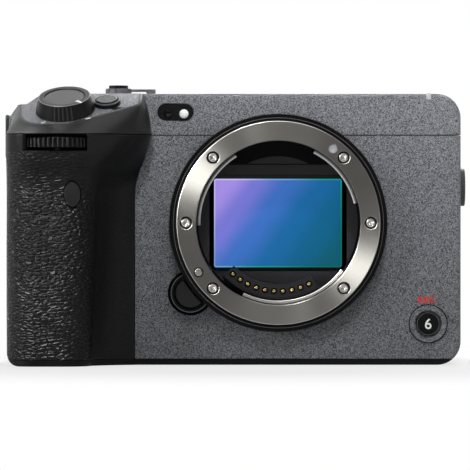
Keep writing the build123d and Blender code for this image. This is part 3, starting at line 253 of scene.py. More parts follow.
def broken(shape, angle, width, segments=2):
    """Edges sharper than an angle in radians broken by a small round."""
    sharp = [e for e in shape.edges if e.is_manifold and e.calc_face_angle(0.0) > angle]
    bmesh.ops.bevel(
        shape, geom=sharp, offset=width * mm, segments=segments, profile=0.5, affect="EDGES", clamp_overlap=False,
        loop_slide=True,
    )


def smoothed(mesh, angle=None):
    """Smooth faces, with the edges above an angle in degrees kept sharp."""
    for face in mesh.polygons:
        face.use_smooth = True
    if angle:
        mesh.set_sharp_from_angle(angle=math.radians(angle))


cad_weld = 2e-6


def softened(node, width, finish, slot, body="root", angle=35.0, segments=2, choose=None, others=(), extra=(),
             corner=0.0):
    """Copy of a CAD node with its sharp edges broken by a small round, standing for the node."""
    shape = bmesh.new()
    shape.from_mesh(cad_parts[node].data)
    bmesh.ops.remove_doubles(shape, verts=shape.verts, dist=cad_weld)
    flattened(shape)
    if corner:
        upright = [e for e in shape.edges if abs((e.verts[1].co - e.verts[0].co).normalized().y) > 0.99]
        bmesh.ops.bevel(shape, geom=upright, offset=corner * mm, segments=4, profile=0.5, affect="EDGES")
    if width:
        broken(shape, math.radians(angle), width, segments)
    low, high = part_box(node)
    for vert in shape.verts:
        vert.co = [min(max(vert.co[k], low[k]), high[k]) for k in range(3)]
    for other in extra:
        shape.from_mesh(other)
    mesh = bpy.data.meshes.new(node + "_finished")
    shape.to_mesh(mesh)
    shape.free()
    for material in (finish, *others):
        mesh.materials.append(material)
    if choose:
        for face in mesh.polygons:
            face.material_index = choose(face.center / mm, face.normal)
    smoothed(mesh, 50 if width else 30)
    piece = placed(node + "_finished", mesh)
    piece.modifiers.new("flat", "WEIGHTED_NORMAL").keep_sharp = True
    to_plain(piece)
    return hand_over(piece, slot, body, node)


cover_paint = grained_finish(
    "cover_paint", (40, 41, 44), (142, 144, 149), 0.6, 4300.0, 4.2, 0.3, 0.00003, specular=0.4
)
collar_black = new_finish("collar_black", tone(12, 12, 13), 0.6, specular=0.2)[0]
collar_x, collar_y, collar_reach, collar_floor = -47.8, -4.3, 4.2, 31.5
softened("front_cover", 0.12, cover_paint, "cover_paint")
softened(
    "top_cover", 0.2, cover_paint, "cover_paint", others=(collar_black,),
    choose=lambda spot, normal:
    1 if math.hypot(spot.x - collar_x, spot.y - collar_y) < collar_reach and spot.z > collar_floor else 0,
)
softened("rear_cover", 0.25, cover_paint, "cover_paint")


# Base plate: a black moulded plate under the body, satin, with the battery door and its sliding latch let into it
# and a row of intake slots.
black_satin = grained_finish("black_satin", (12, 12, 13), (20, 20, 21), 0.5, 2600.0, 1.8, 0.2, 0.00002, specular=0.2)
softened("base_plate", 0.1, black_satin, "black_plastic")
softened("battery_door", 0.15, black_satin, "black_plastic", "battery_door")
softened("battery_latch", 0.08, black_satin, "black_plastic", "battery_latch")
softened("grip_core", 0.0, black_satin, "black_plastic")
softened("card_slots", 0.0, black_satin, "black_plastic")
shrink_wrap = grained_finish("shrink_wrap", (34, 35, 38), (46, 47, 50), 0.5, 500.0, 1.6, 0.2, 0.00004)
softened("battery", 0.3, shrink_wrap, "black_plastic")

# Shoulder: a smooth satin moulding over the grip's nose, between the leather and the sloping plate, that shines
# softly where it turns up to the light.
shoulder_satin = grained_finish("shoulder_satin", (14, 14, 15), (19, 19, 20), 0.40, 3000.0, 1.2, 0.08, specular=0.5)
softened("grip_shoulder", 0.12, shoulder_satin, "black_plastic", angle=50.0)

# Grip leather: black rubber leather, 1 mm thick, moulded over the whole grip with fine wrinkled pebbles that lie
# across it, a slot cut in its top edge for the front dial, and a smooth oval window let into the knuckle.
skin = 1.0
body_left = -75.8
grip_rear = 4.95
strip_rear = 24.0
nose_corner = 8.5
nose_end = body_left + nose_corner + 7.0
skin_low, skin_high = -38.15, 24.5
slot_left, slot_right, slot_floor = -70.8, -52.9, 19.9
base_corner = 3.7
grip_levels = np.array(
    (
        (-39.9, -13.2, -52.4, -5.2, -40.3, 0.9),
        (-24.0, -14.6, -51.7, -5.4, -40.3, 1.1),
        (-8.0, -15.0, -51.0, -5.8, -40.3, 1.2),
        (4.0, -13.9, -50.6, -5.6, -40.3, 1.1),
        (12.0, -14.3, -50.0, -6.0, -40.0, 0.6),
        (18.5, -18.2, -44.5, -7.6, -37.2, -0.8),
        (24.6, -18.8, -40.2, -9.2, -35.8, -1.6),
    )
)


def level_at(height):
    """Nose, crease x and y, inner edge and hollow at a height, eased from one level to the next."""
    reach = 3.0
    first, last = grip_levels[0], grip_levels[-1]
    before = first + (first - grip_levels[1]) * 6.0 / (grip_levels[1][0] - first[0])
    after = last + (last - grip_levels[-2]) * 6.0 / (last[0] - grip_levels[-2][0])
    table = np.vstack((before, grip_levels, after))
    spots = height + np.linspace(-reach, reach, 13)
    return [float(np.interp(spots, table[:, 0], table[:, k]).mean()) for k in range(1, 6)]


def spread(start, end, steps):
    """Even steps from start, without the end."""
    return list(np.linspace(start, end, steps + 1)[:-1])


wall_steps, turn_steps, corner_steps, nose_steps, bend_steps, knuckle_steps, web_steps = 55, 22, 8, 17, 20, 26, 45


def grip_row(height, inset):
    """One row of points round the grip, from the left wall's rear round the nose to the front panel."""
    nose, crease_x, crease_y, inner, hollow = level_at(height)
    left = body_left + inset
    nose += inset
    crease_x, crease_y, inner = crease_x - 0.6 * inset, crease_y + 0.8 * inset, inner - inset
    start, end = left + nose_corner, nose_end + inset
    row = [(left, y) for y in spread(strip_rear, nose + nose_corner, wall_steps)]
    slot_turn = math.acos(1 - (slot_left - body_left) / nose_corner)
    turns = spread(0, slot_turn, turn_steps) + spread(slot_turn, math.pi / 2, corner_steps)
    row += [(start - nose_corner * math.cos(a), nose + nose_corner * (1 - math.sin(a))) for a in turns]
    row += [(x, nose) for x in spread(start, end, nose_steps)]
    run, rise = crease_x - nose_end - inset, crease_y - nose
    sweep = (run * run + rise * rise) / (2 * rise)
    stop = slot_right - 0.3 * inset
    for x in spread(end, stop, bend_steps) + spread(stop, crease_x, knuckle_steps):
        lean = min(1.0, max(0.0, (x - nose_end - inset) / sweep))
        row.append((x, nose + sweep * (1 - math.sqrt(1 - lean * lean))))
    pull = ((crease_x + inner) / 2 - hollow, (crease_y + grip_rear) / 2 + hollow)
    bend = (2 * pull[0] - (crease_x + inner) / 2, 2 * pull[1] - (crease_y + grip_rear) / 2)
    for t in np.linspace(0, 1, web_steps + 1):
        row.append(tuple(
            (1 - t) ** 2 * first + 2 * t * (1 - t) * middle + t * t * last
            for first, middle, last in ((crease_x, bend[0], inner), (crease_y, bend[1], grip_rear))
        ))
    drop = base_corner - inset
    rise = height - (skin_low - 1.75 + base_corner)
    edge = left if rise >= 0 else left + drop - math.sqrt(max(drop * drop - rise * rise, 0.0))
    return [(max(x, edge), y, height) for x, y in row]


heights = spread(skin_low, slot_floor, 115) + list(np.linspace(slot_floor, skin_high, 11))
outer_rows = np.array([grip_row(z, 0.0) for z in heights])
inner_rows = np.array([grip_row(z, skin) for z in heights])
columns = outer_rows.shape[1]
slot_start = wall_steps + turn_steps
slot_stop = slot_start + corner_steps + nose_steps + bend_steps
points = np.concatenate((outer_rows.reshape(-1, 3), inner_rows.reshape(-1, 3)))
half = len(points) // 2
cells = []
for i in range(len(heights) - 1):
    for j in range(columns - 1):
        if not (heights[i] >= slot_floor - 1e-6 and slot_start <= j < slot_stop):
            cells.append((i * columns + j, i * columns + j + 1, (i + 1) * columns + j + 1, (i + 1) * columns + j))
rims = {}
for a, b, c, d in cells:
    for edge in ((a, b), (b, c), (c, d), (d, a)):
        if (edge[1], edge[0]) in rims:
            del rims[(edge[1], edge[0])]
        else:
            rims[edge] = True
faces = list(cells) + [tuple(half + v for v in reversed(cell)) for cell in cells]
faces += [(b, a, half + a, half + b) for a, b in rims]
leather_mesh = bpy.data.meshes.new("grip_leather")
leather_mesh.from_pydata([tuple(p * mm) for p in points], [], faces)
round_edges = bmesh.new()
round_edges.from_mesh(leather_mesh)
bmesh.ops.delete(round_edges, geom=[v for v in round_edges.verts if not v.link_faces], context="VERTS")
bmesh.ops.recalc_face_normals(round_edges, faces=round_edges.faces)
outer_rim = [
    e for e in round_edges.edges
    if e.is_manifold and e.calc_face_angle(0.0) > 1.0 and all(v.index < half for v in e.verts)
]
bmesh.ops.bevel(round_edges, geom=outer_rim, offset=0.12 * mm, segments=2, profile=0.5, affect="EDGES")
round_edges.to_mesh(leather_mesh)
round_edges.free()
smoothed(leather_mesh, 55)

pebbles, entry, leave = shader_group("pebbles", {"Scale": 1000.0, "Wrinkle": 0.00025}, ("Height", "Valley"))
place = add_node(pebbles, "ShaderNodeTexCoord").outputs["Object"]
bent = add_node(pebbles, "ShaderNodeTexNoise", {"Vector": place, "Scale": 900.0, "Detail": 1.0})
centred = add_node(
    pebbles, "ShaderNodeVectorMath", {0: bent.outputs["Color"], 1: (0.5, 0.5, 0.5)}, operation="SUBTRACT"
)
pushed = add_node(
    pebbles, "ShaderNodeVectorMath", {0: centred.outputs[0], "Scale": entry.outputs["Wrinkle"]}, operation="SCALE"
)
moved = add_node(pebbles, "ShaderNodeVectorMath", {0: place, 1: pushed.outputs[0]}, operation="ADD")
wide = add_node(pebbles, "ShaderNodeMapping", {"Vector": moved.outputs[0], "Scale": (0.50, 0.50, 1.10)})
borders = add_node(
    pebbles, "ShaderNodeTexVoronoi", feature="DISTANCE_TO_EDGE",
    inputs={"Vector": wide.outputs["Vector"], "Scale": entry.outputs["Scale"], "Randomness": 0.9},
).outputs["Distance"]
small = add_node(pebbles, "ShaderNodeTexNoise", {"Vector": place, "Scale": 4200.0, "Detail": 2.0})
dome = add_node(pebbles, "ShaderNodeMapRange", {"Value": borders, "From Max": 0.32}, interpolation_type="SMOOTHSTEP")
deep = add_node(pebbles, "ShaderNodeMapRange", {"Value": borders, "From Max": 0.16})
grit = calculate(pebbles, "MULTIPLY", small.outputs[0], 0.25)
pebbles.links.new(calculate(pebbles, "ADD", dome.outputs["Result"], grit), leave.inputs["Height"])
pebbles.links.new(deep.outputs["Result"], leave.inputs["Valley"])


def pebbled_finish(name, valley, top, roughness, scale, strength, relief, fades=(), **sockets):
    """Finish with the wrinkled pebbles in its colour and relief. Each fade eases the relief along an axis, from
    its first share at the start to its last at the end, both in mm."""
    finish, tree, shader = new_finish(name, tone(*top), roughness, **sockets)
    grain = add_node(tree, "ShaderNodeGroup", {"Scale": scale}, node_tree=pebbles).outputs
    height = grain["Height"]
    for axis, start, end, first, last in fades:
        split = add_node(tree, "ShaderNodeSeparateXYZ", {0: add_node(tree, "ShaderNodeTexCoord").outputs["Object"]})
        eased = add_node(tree, "ShaderNodeMapRange", interpolation_type="SMOOTHSTEP", inputs={
            "Value": split.outputs[axis], "From Min": start * mm, "From Max": end * mm, "To Min": first, "To Max": last,
        })
        height = calculate(tree, "MULTIPLY", height, eased.outputs["Result"])
    mix_colours(tree, shader, grain["Valley"], valley, top)
    bump(tree, shader, height, strength, relief)
    return finish


grip_fades = (
    ("X", -54.5, -51.0, 1.0, 0.08), ("Z", 18.8, 20.0, 1.0, 0.0), ("Z", 3.5, 11.0, 1.0, 0.4),
    ("Z", -26.0, -6.0, 0.42, 0.85),
)
leather = pebbled_finish("leather", (3, 3, 4), (16, 16, 17), 0.42, 1000.0, 1.0, 0.0005, grip_fades, specular=0.28)
leather_mesh.materials.append(leather)
leather_piece = hand_over(placed("grip_leather", leather_mesh), "grip_leather", "root", "grip_skin")
grip_side = bpy.data.collections.new("grip_side")
grip_side.objects.link(leather_piece)
grip_side.objects.link(bpy.data.objects["grip_shoulder_finished"])
glint.light_linking.receiver_collection = grip_side

window_place = (-57.25, 7.85)
window_half = (2.3, 3.6)


def knuckle_depth(x, z):
    """Depth of the leather's outer face at a point on the nose or the knuckle."""
    nose, crease_x, crease_y = level_at(z)[:3]
    run, rise = crease_x - nose_end, crease_y - nose
    sweep = (run * run + rise * rise) / (2 * rise)
    lean = max(0.0, (x - nose_end) / sweep)
    return nose + sweep * (1 - math.sqrt(max(1 - lean * lean, 0.0)))


def closed_mesh(name, points, faces, finish, weld=0.0, sliver=0.0, place=Matrix()):
    """Mesh from points in mm with its normals outward, welded and cleared of slivers where asked, then placed."""
    mesh = bpy.data.meshes.new(name)
    mesh.from_pydata([tuple(value * mm for value in point) for point in points], [], faces)
    shape = bmesh.new()
    shape.from_mesh(mesh)
    if weld:
        bmesh.ops.remove_doubles(shape, verts=shape.verts, dist=weld)
    if sliver:
        bmesh.ops.dissolve_degenerate(shape, edges=shape.edges, dist=sliver)
    bmesh.ops.recalc_face_normals(shape, faces=shape.faces)
    shape.to_mesh(mesh)
    shape.free()
    mesh.transform(place)
    mesh.materials.append(finish)
    return mesh


def oval_patch(name, rings, finish):
    """Closed oval plate on the knuckle, from rings of (share of the oval, height over the leather)."""
    count = 48
    points, faces = [], []
    for share, lift in rings:
        for k in range(count):
            turn = 2 * math.pi * k / count
            x = window_place[0] + window_half[0] * share * math.cos(turn)
            z = window_place[1] + window_half[1] * share * math.sin(turn)
            points.append((x, knuckle_depth(x, z) - lift, z))
    for r in range(len(rings)):
        for k in range(count):
            a, b = r * count + k, r * count + (k + 1) % count
            c = (r + 1) % len(rings) * count
            faces.append((a, b, c + (k + 1) % count, c + k))
    mesh = closed_mesh(name, points, faces, finish, weld=1e-6)
    smoothed(mesh)
    return mesh


window_dark = grained_finish("window_dark", (24, 24, 26), (28, 28, 30), 0.35, 3000.0, 1.2, 0.05)
# Black for painted shade in narrow gaps: round the grip's window, the release tab and the record button's collar.
gap_shade_black = new_finish("gap_shade_black", tone(5, 5, 5), 0.8, specular=0.1)[0]
oval_rings = [
    (0.0, 0.07), (0.3, 0.07), (0.6, 0.07), (0.88, 0.06), (0.94, 0.04), (0.95, -0.6), (0.5, -0.6), (0.0, -0.6),
]
gap_shade_rings = [(0.97, 0.02), (1.09, 0.02), (1.11, -0.1), (0.96, -0.1)]
for name, rings, finish in (("grip_window", oval_rings, window_dark), ("grip_window_gap_shade", gap_shade_rings, gap_shade_black)):
    hand_over(placed(name, oval_patch(name, rings, finish)), "black_plastic", "root")


# Lens mount: a turned steel ring with three claws under it, sitting in a black bezel. Its face keeps the fine
# circular marks of the lathe, and six cross-recess screws hold it, each in its own deep seat. The seats, the back of
# the claws and a ring round the lock pin are painted dark as shade, and the ring's outer edge is in brighter steel as a
# painted highlight.
def ring_pattern():
    """Geometry Nodes tree that sets copies of one part round a ring, in one or more like sides."""
    tree = bpy.data.node_groups.new("ring_pattern", "GeometryNodeTree")
    tree.interface.new_socket("Geometry", in_out="INPUT", socket_type="NodeSocketGeometry")
    for label, kind, value in (
        ("Count", "Int", 6), ("Sides", "Int", 1), ("Radius", "Float", 0.01), ("First", "Float", 0.0),
        ("Step", "Float", 1.0), ("Turn", "Float", 0.0), ("Seed", "Int", 7),
    ):
        tree.interface.new_socket(label, in_out="INPUT", socket_type="NodeSocket" + kind).default_value = value
    tree.interface.new_socket("Finish", in_out="INPUT", socket_type="NodeSocketMaterial")
    tree.interface.new_socket("Geometry", in_out="OUTPUT", socket_type="NodeSocketGeometry")
    entry = add_node(tree, "NodeGroupInput").outputs
    count, sides, radius = entry["Count"], entry["Sides"], entry["Radius"]
    index = add_node(tree, "GeometryNodeInputIndex").outputs[0]
    place = calculate(tree, "MODULO", index, count)
    side = calculate(tree, "FLOOR", calculate(tree, "DIVIDE", index, count))
    side_turn = calculate(tree, "MULTIPLY", side, calculate(tree, "DIVIDE", 2 * math.pi, sides))
    turn = calculate(tree, "ADD", calculate(tree, "MULTIPLY", place, entry["Step"]), entry["First"])
    turn = calculate(tree, "ADD", turn, side_turn)
    spot = add_node(tree, "ShaderNodeCombineXYZ", {
        0: calculate(tree, "MULTIPLY", calculate(tree, "COSINE", turn), radius),
        1: calculate(tree, "MULTIPLY", calculate(tree, "SINE", turn), radius),
    })
    whole = calculate(tree, "MULTIPLY", count, sides)
    points = add_node(tree, "GeometryNodePoints", {"Count": whole, "Position": spot.outputs[0]})
    chance = add_node(tree, "FunctionNodeRandomValue", {"ID": index, "Seed": entry["Seed"]})
    spin = calculate(tree, "MULTIPLY", chance.outputs[1], entry["Turn"])
    facing = add_node(tree, "ShaderNodeCombineXYZ", {2: calculate(tree, "ADD", turn, spin)})
    copies = add_node(tree, "GeometryNodeInstanceOnPoints", {
        "Points": points.outputs[0], "Instance": entry["Geometry"], "Rotation": facing.outputs[0],
    })
    real = add_node(tree, "GeometryNodeRealizeInstances", {0: copies.outputs[0]})
    finish = add_node(tree, "GeometryNodeSetMaterial", {"Geometry": real.outputs[0], "Material": entry["Finish"]})
    add_node(tree, "NodeGroupOutput", {0: finish.outputs[0]})
    return tree


ring_tree = ring_pattern()
ring_sockets = {
    item.name: item.identifier for item in ring_tree.interface.items_tree
    if item.item_type == "SOCKET" and item.in_out == "INPUT"
}


def ring_of(name, single, place, finish, count, radius, first, step, sides=1, turn=0.0):
    """Plain mesh of a part repeated round a ring: the single part's mesh lies with its outward side along X."""
    piece = placed(name, single)
    pattern = piece.modifiers.new("pattern", "NODES")
    pattern.node_group = ring_tree
    for label, value in (
        ("Count", count), ("Sides", sides), ("Radius", radius * mm), ("First", math.radians(first)),
        ("Step", math.radians(step)), ("Turn", math.radians(turn)), ("Finish", finish),
    ):
        pattern[ring_sockets[label]] = value
    mesh = to_plain(piece)
    bpy.data.objects.remove(piece)
    mesh.transform(place)
    mesh.set_sharp_from_angle(angle=math.radians(45))
    return mesh


def lathe(name, profile, finish, place=Matrix(), segments=96, angle=40.0):
    """Closed turned part from a profile of (radius, height) in mm, on its own Z, moved into place."""
    points, faces = [], []
    for radius, height in profile:
        for k in range(segments):
            turn = 2 * math.pi * k / segments
            points.append((radius * math.cos(turn), radius * math.sin(turn), height))
    for r in range(len(profile)):
        low, high = r * segments, (r + 1) % len(profile) * segments
        for k in range(segments):
            faces.append((low + k, low + (k + 1) % segments, high + (k + 1) % segments, high + k))
    mesh = closed_mesh(name, points, faces, finish, 5e-7, 1e-7, place)
    smoothed(mesh, angle)
    return mesh


def joined(name, slot, body, meshes, *nodes):
    """Several meshes as one piece that keeps each one's material."""
    shape = bmesh.new()
    materials = []
    for mesh in meshes:
        start = len(shape.faces)
        shape.from_mesh(mesh)
        shape.faces.ensure_lookup_table()
        for material in mesh.materials:
            if material not in materials:
                materials.append(material)
        for face in shape.faces[start:]:
            face.material_index = materials.index(mesh.materials[face.material_index])
    whole = bpy.data.meshes.new(name)
    shape.to_mesh(whole)
    shape.free()
    for material in materials:
        whole.materials.append(material)
    return hand_over(placed(name, whole), slot, body, *nodes)


def facing_front(x, y, z):
    """Frame whose Z points to the front and whose X is the body's X, at a place in mm."""
    return Matrix.Translation(Vector((x, y, z)) * mm) @ Matrix.Rotation(math.radians(90), 4, "X")


turned_steel, tree, shader = new_finish(
    "turned_steel", tone(140, 138, 133), 0.34, Metallic=1.0, Anisotropic=0.92, Anisotropic_Rotation=0.25
)
direction = add_node(tree, "ShaderNodeTangent", direction_type="RADIAL", axis="Y")
tree.links.new(direction.outputs[0], shader.inputs["Tangent"])
mix_colours(tree, shader, speckled(tree, 900.0, 1.2).outputs["Cloud"], (128, 126, 120), (156, 154, 149))
seat_shade_steel = new_finish("seat_shade_steel", tone(36, 35, 33), 0.5, Metallic=0.6)[0]
bright_steel = grained_finish("bright_steel", (196, 194, 190), (212, 210, 206), 0.28, 1500.0, 1.4, Metallic=1.0)
screw_circle = 25.9
screw_turns = [math.radians(a) for a in (0, 45, 135, 180, 225, 315)]
seats = [(screw_circle * math.cos(a), screw_circle * math.sin(a)) for a in screw_turns]
seat_radius, seat_floor, ring_rim, claw_back = 1.78, 0.3, 28.25, 1.9


def ring_part(spot, normal):
    """Face of the mount ring: turned, painted shade in a screw's seat or on the claws' back, or a painted highlight at
    the rim.
    """
    if spot.y > seat_floor and any(math.hypot(spot.x - x, spot.z - z) < seat_radius for x, z in seats):
        return 1
    if math.hypot(spot.x, spot.z) > ring_rim and normal.y > -0.97:
        return 2
    return 1 if spot.y > claw_back else 0


def ledge(inner, flat, outer, top, base):
    """Profile of a turned part with a flat top and a sloping outer edge, in mm."""
    return [(inner, top), (flat, top), (outer, 0.0), (outer, base), (inner, base)]


index_circle, index_angle = 25.7, math.radians(53.5)
index_dot = lathe(
    "index_dot", ledge(0, 1.15, 1.25, 0.06, -0.5),
    grained_finish("index_white", (138, 140, 142), (154, 156, 158), 0.6, 2500.0, 1.4),
    facing_front(index_circle * math.cos(index_angle), 0, index_circle * math.sin(index_angle)), 40, 20.0,
)
softened(
    "lens_mount_ring", 0.24, turned_steel, "flange_steel", angle=40.0, choose=ring_part,
    others=(seat_shade_steel, bright_steel),
)
mount_metal = bpy.data.collections.new("mount_metal")
mount_metal.objects.link(bpy.data.objects["lens_mount_ring_finished"])
for lamp in (ring_light, ring_glow):
    lamp.light_linking.receiver_collection = mount_metal
joined("index_dot", "flange_steel", "root", [index_dot])


def arc_strip(name, inner, outer, start, end, front, rear, finish):
    """Closed strip along part of a circle round the lens axis."""
    steps = max(8, int((end - start) / 1.5))
    bevel = min(0.12, (outer - inner) / 4)
    section = [
        (inner, rear), (inner, front + bevel), (inner + bevel, front), (outer - bevel, front),
        (outer, front + bevel), (outer, rear),
    ]
    points, faces = [], []
    for i in range(steps + 1):
        turn = math.radians(start + (end - start) * i / steps)
        for radius, depth in section:
            points.append((radius * math.cos(turn), depth, radius * math.sin(turn)))
    width = len(section)
    for i in range(steps):
        for k in range(width):
            a, b = i * width + k, i * width + (k + 1) % width
            faces.append((a, b, b + width, a + width))
    faces += [tuple(range(width)), tuple(range(steps * width, (steps + 1) * width))]
    mesh = closed_mesh(name, points, faces, finish)
    smoothed(mesh, 50)
    return mesh


claw_spans = ((122, 182), (14, 63.5), (243.5, 323.5))
claw_lips = [
    arc_strip("claw_lip", 21.82, 22.68, start + 0.3, end - 0.3, 1.88, 2.3, bright_steel) for start, end in claw_spans
]
mount_metal.objects.link(joined("claw_lips", "flange_steel", "root", claw_lips))
softened("lock_pin", 0.45, bright_steel, "flange_steel", "lock_pin", segments=4)
low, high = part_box("lock_pin")
pin_middle, pin_radius = (low + high) / 2 / mm, (high.x - low.x) / 2 / mm
# A dark ring round the lock pin, painted shade.
pin_seat_shade = lathe("pin_seat_shade", [
    (pin_radius + 0.05, 0.03), (pin_radius + 0.32, 0.03), (pin_radius + 0.36, -0.3), (pin_radius + 0.05, -0.3),
], seat_shade_steel, facing_front(pin_middle.x, 0, pin_middle.z), 40, 30.0)
joined("pin_seat_shade", "flange_steel", "root", [pin_seat_shade])


def part_of(node, keep, width, finish=None):
    """One piece of a CAD node, chosen by its points in mm, with its sharp edges broken."""
    shape = bmesh.new()
    shape.from_mesh(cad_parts[node].data)
    bmesh.ops.remove_doubles(shape, verts=shape.verts, dist=cad_weld)
    bmesh.ops.delete(shape, geom=[v for v in shape.verts if not keep(v.co / mm)], context="VERTS")
    flattened(shape)
    broken(shape, 0.7, width)
    mesh = bpy.data.meshes.new(node + "_part")
    shape.to_mesh(mesh)
    shape.free()
    smoothed(mesh, 50)
    if finish:
        mesh.materials.append(finish)
    return mesh


screw_mesh = part_of("mount_screws", lambda spot: math.hypot(spot.x - screw_circle, spot.z) < 1.4, 0.09)
screw_mesh.transform(facing_front(0, 0, 0).inverted() @ Matrix.Translation((-screw_circle * mm, 0, 0)))
screws = ring_of(
    "mount_screws", screw_mesh, facing_front(0, 0, 0), bright_steel, 3, screw_circle, -45, 45, sides=2, turn=70
)
mount_metal.objects.link(joined("mount_screws", "screw_steel", "root", [screws], "mount_screws"))

# Bezel and release button: a black anodised ring round the mount with a fine turned groove, and a rounded tab
# at its lower left whose cap presses in to free the lens. Thin pale grey lines on the bezel and round the tab are
# painted highlights, and the black ring round the tab is painted shade.
black_anodised = grained_finish("black_anodised", (5, 5, 6), (9, 9, 10), 0.4, 3000.0, 1.2, specular=0.18)
# Pale grey for thin raised lines that paint the highlights along edges and grooves.
edge_highlight_grey = grained_finish("edge_highlight_grey", (104, 105, 107), (120, 121, 123), 0.4, 3000.0, 1.2)
# Thin raised lines in pale grey on the bezel, painted highlights on its groove and rounded edge.
highlight_beads = [
    lathe("bead", [(radius - 0.07, 0.0), (radius, 0.06), (radius + 0.07, 0.0), (radius, -0.2)], edge_highlight_grey,
          facing_front(0, front, 0), 160, 80.0)
    for radius, front in ((29.45, 0.7), (30.32, 0.86))
]
softened("mount_bezel", 0.22, black_anodised, "black_metal")
joined("bezel_highlight_lines", "black_metal", "root", highlight_beads)
cap_black = grained_finish("cap_black", (20, 20, 21), (26, 26, 27), 0.5, 2600.0, 1.4, 0.15, 0.00002)
softened("release_button", 0.25, cap_black, "black_plastic", "release_button")
release_circle, release_angle = 31.55, math.radians(218.5)
release_x, release_z = release_circle * math.cos(release_angle), release_circle * math.sin(release_angle)
# A pale line round the tab is a painted highlight, and a black ring outside it is painted shade.
joined("release_highlight_and_shade", "black_metal", "root", [
    lathe("release_highlight", [(5.28, 0.02), (5.38, 0.08), (5.48, 0.0), (5.38, -0.2)], edge_highlight_grey,
          facing_front(release_x, 2.2, release_z), 96, 80.0),
    lathe("release_gap_shade", ledge(5.3, 6.25, 6.35, 0.12, -0.4), gap_shade_black,
          facing_front(release_x, 5.0, release_z), 96, 30.0),
])

# Light baffle: a matt black moulding in the throat with grey shields above and below the opening, ribbed by a
# straight edge and a round one, and the black block whose ten gilt pins touch the lens.
matt_black = grained_finish("matt_black", (6, 6, 7), (11, 11, 12), 0.75, 2600.0, 1.2, specular=0.2)
shield_grey = grained_finish("shield_grey", (42, 41, 44), (50, 49, 52), 0.6, 2400.0, 1.4)


def throat_plate(name, outline):
    """Flat grey plate in the throat, 0.2 mm thick, from an outline of (x, z)."""
    count = len(outline)
    points = [(x, depth, z) for depth in (11.9, 12.1) for x, z in outline]
    faces = [tuple(range(count)), tuple(range(2 * count - 1, count - 1, -1))]
    faces += [(k, count + k, count + (k + 1) % count, (k + 1) % count) for k in range(count)]
    return closed_mesh(name, points, faces, shield_grey)


def round_outline(radius, floor_z, count=40):
    """Part of a disc above a straight line, as an outline."""
    start = math.asin(floor_z / radius)
    turns = [start + (math.pi - 2 * start) * k / count for k in range(count + 1)]
    return [(radius * math.cos(a), radius * math.sin(a)) for a in turns]


straight_edge, throat_radius = 13.6, 22.6
baffle_x = 19.4
shields = [
    throat_plate(
        "upper_shield", [(-baffle_x, straight_edge), (baffle_x, straight_edge), (14.8, 16.45), (-14.8, 16.45)]
    ),
    throat_plate("round_shield", round_outline(18.85, 16.75)),
    throat_plate("lower_shield", [(x, -z) for x, z in round_outline(throat_radius, straight_edge)]),
]
side_turns = [math.radians(-37 + 74 * k / 24) for k in range(25)]
for side in (-1, 1):
    curve = [(side * throat_radius * math.cos(a), throat_radius * math.sin(a)) for a in side_turns]
    corners = [(side * baffle_x, straight_edge), (side * baffle_x, -straight_edge)]
    shields.append(throat_plate("side_shield", curve + corners))
softened("light_baffle", 0.1, matt_black, "black_plastic")
joined("baffle_shields", "black_plastic", "root", shields)
block_black = grained_finish("block_black", (30, 29, 32), (38, 37, 40), 0.6, 2400.0, 1.4)
softened("contact_block", 0.12, block_black, "black_plastic")
block_lines = [
    arc_strip("block_line", radius, radius + 0.14, 226, 300, 4.42, 4.6, shield_grey) for radius in (17.45, 18.1, 20.6)
]
joined("block_lines", "black_plastic", "root", block_lines)
gold = grained_finish("gold", (226, 196, 124), (246, 222, 160), 0.25, 1800.0, 1.4, 0.05, Metallic=1.0)
pin_profile = [(0, 0.5), (0.22, 0.47), (0.41, 0.38), (0.54, 0.2), (0.58, 0.0), (0.58, -2.0), (0, -2.0)]
pin = lathe("pin", pin_profile, gold, segments=24)
pin_row = {"count": 10, "radius": 19.2, "first": 228.4, "step": 7.6}
pins = ring_of("contact_pins", pin, facing_front(0, 4.5, 0), gold, **pin_row)
joined("contact_pins", "contact_gold", "root", [pins], "contact_pins")
# Black rings round the pins are painted shade where they stand out of the block.
pin_shade_ring = lathe("socket", ledge(0.6, 0.9, 0.95, 0.03, -0.2), matt_black, segments=24)
pin_shade_rings = ring_of("pin_shade_rings", pin_shade_ring, facing_front(0, 4.5, 0), matt_black, **pin_row)
joined("pin_shade_rings", "black_plastic", "root", [pin_shade_rings])
softened("shutter_frame", 0.0, matt_black, "black_plastic")
blade_black = grained_finish("blade_black", (20, 20, 21), (26, 26, 27), 0.5, 1500.0, 1.4)
for which in ("first", "second"):
    softened("shutter_blade_" + which, 0.0, blade_black, "black_metal", "shutter_" + which)

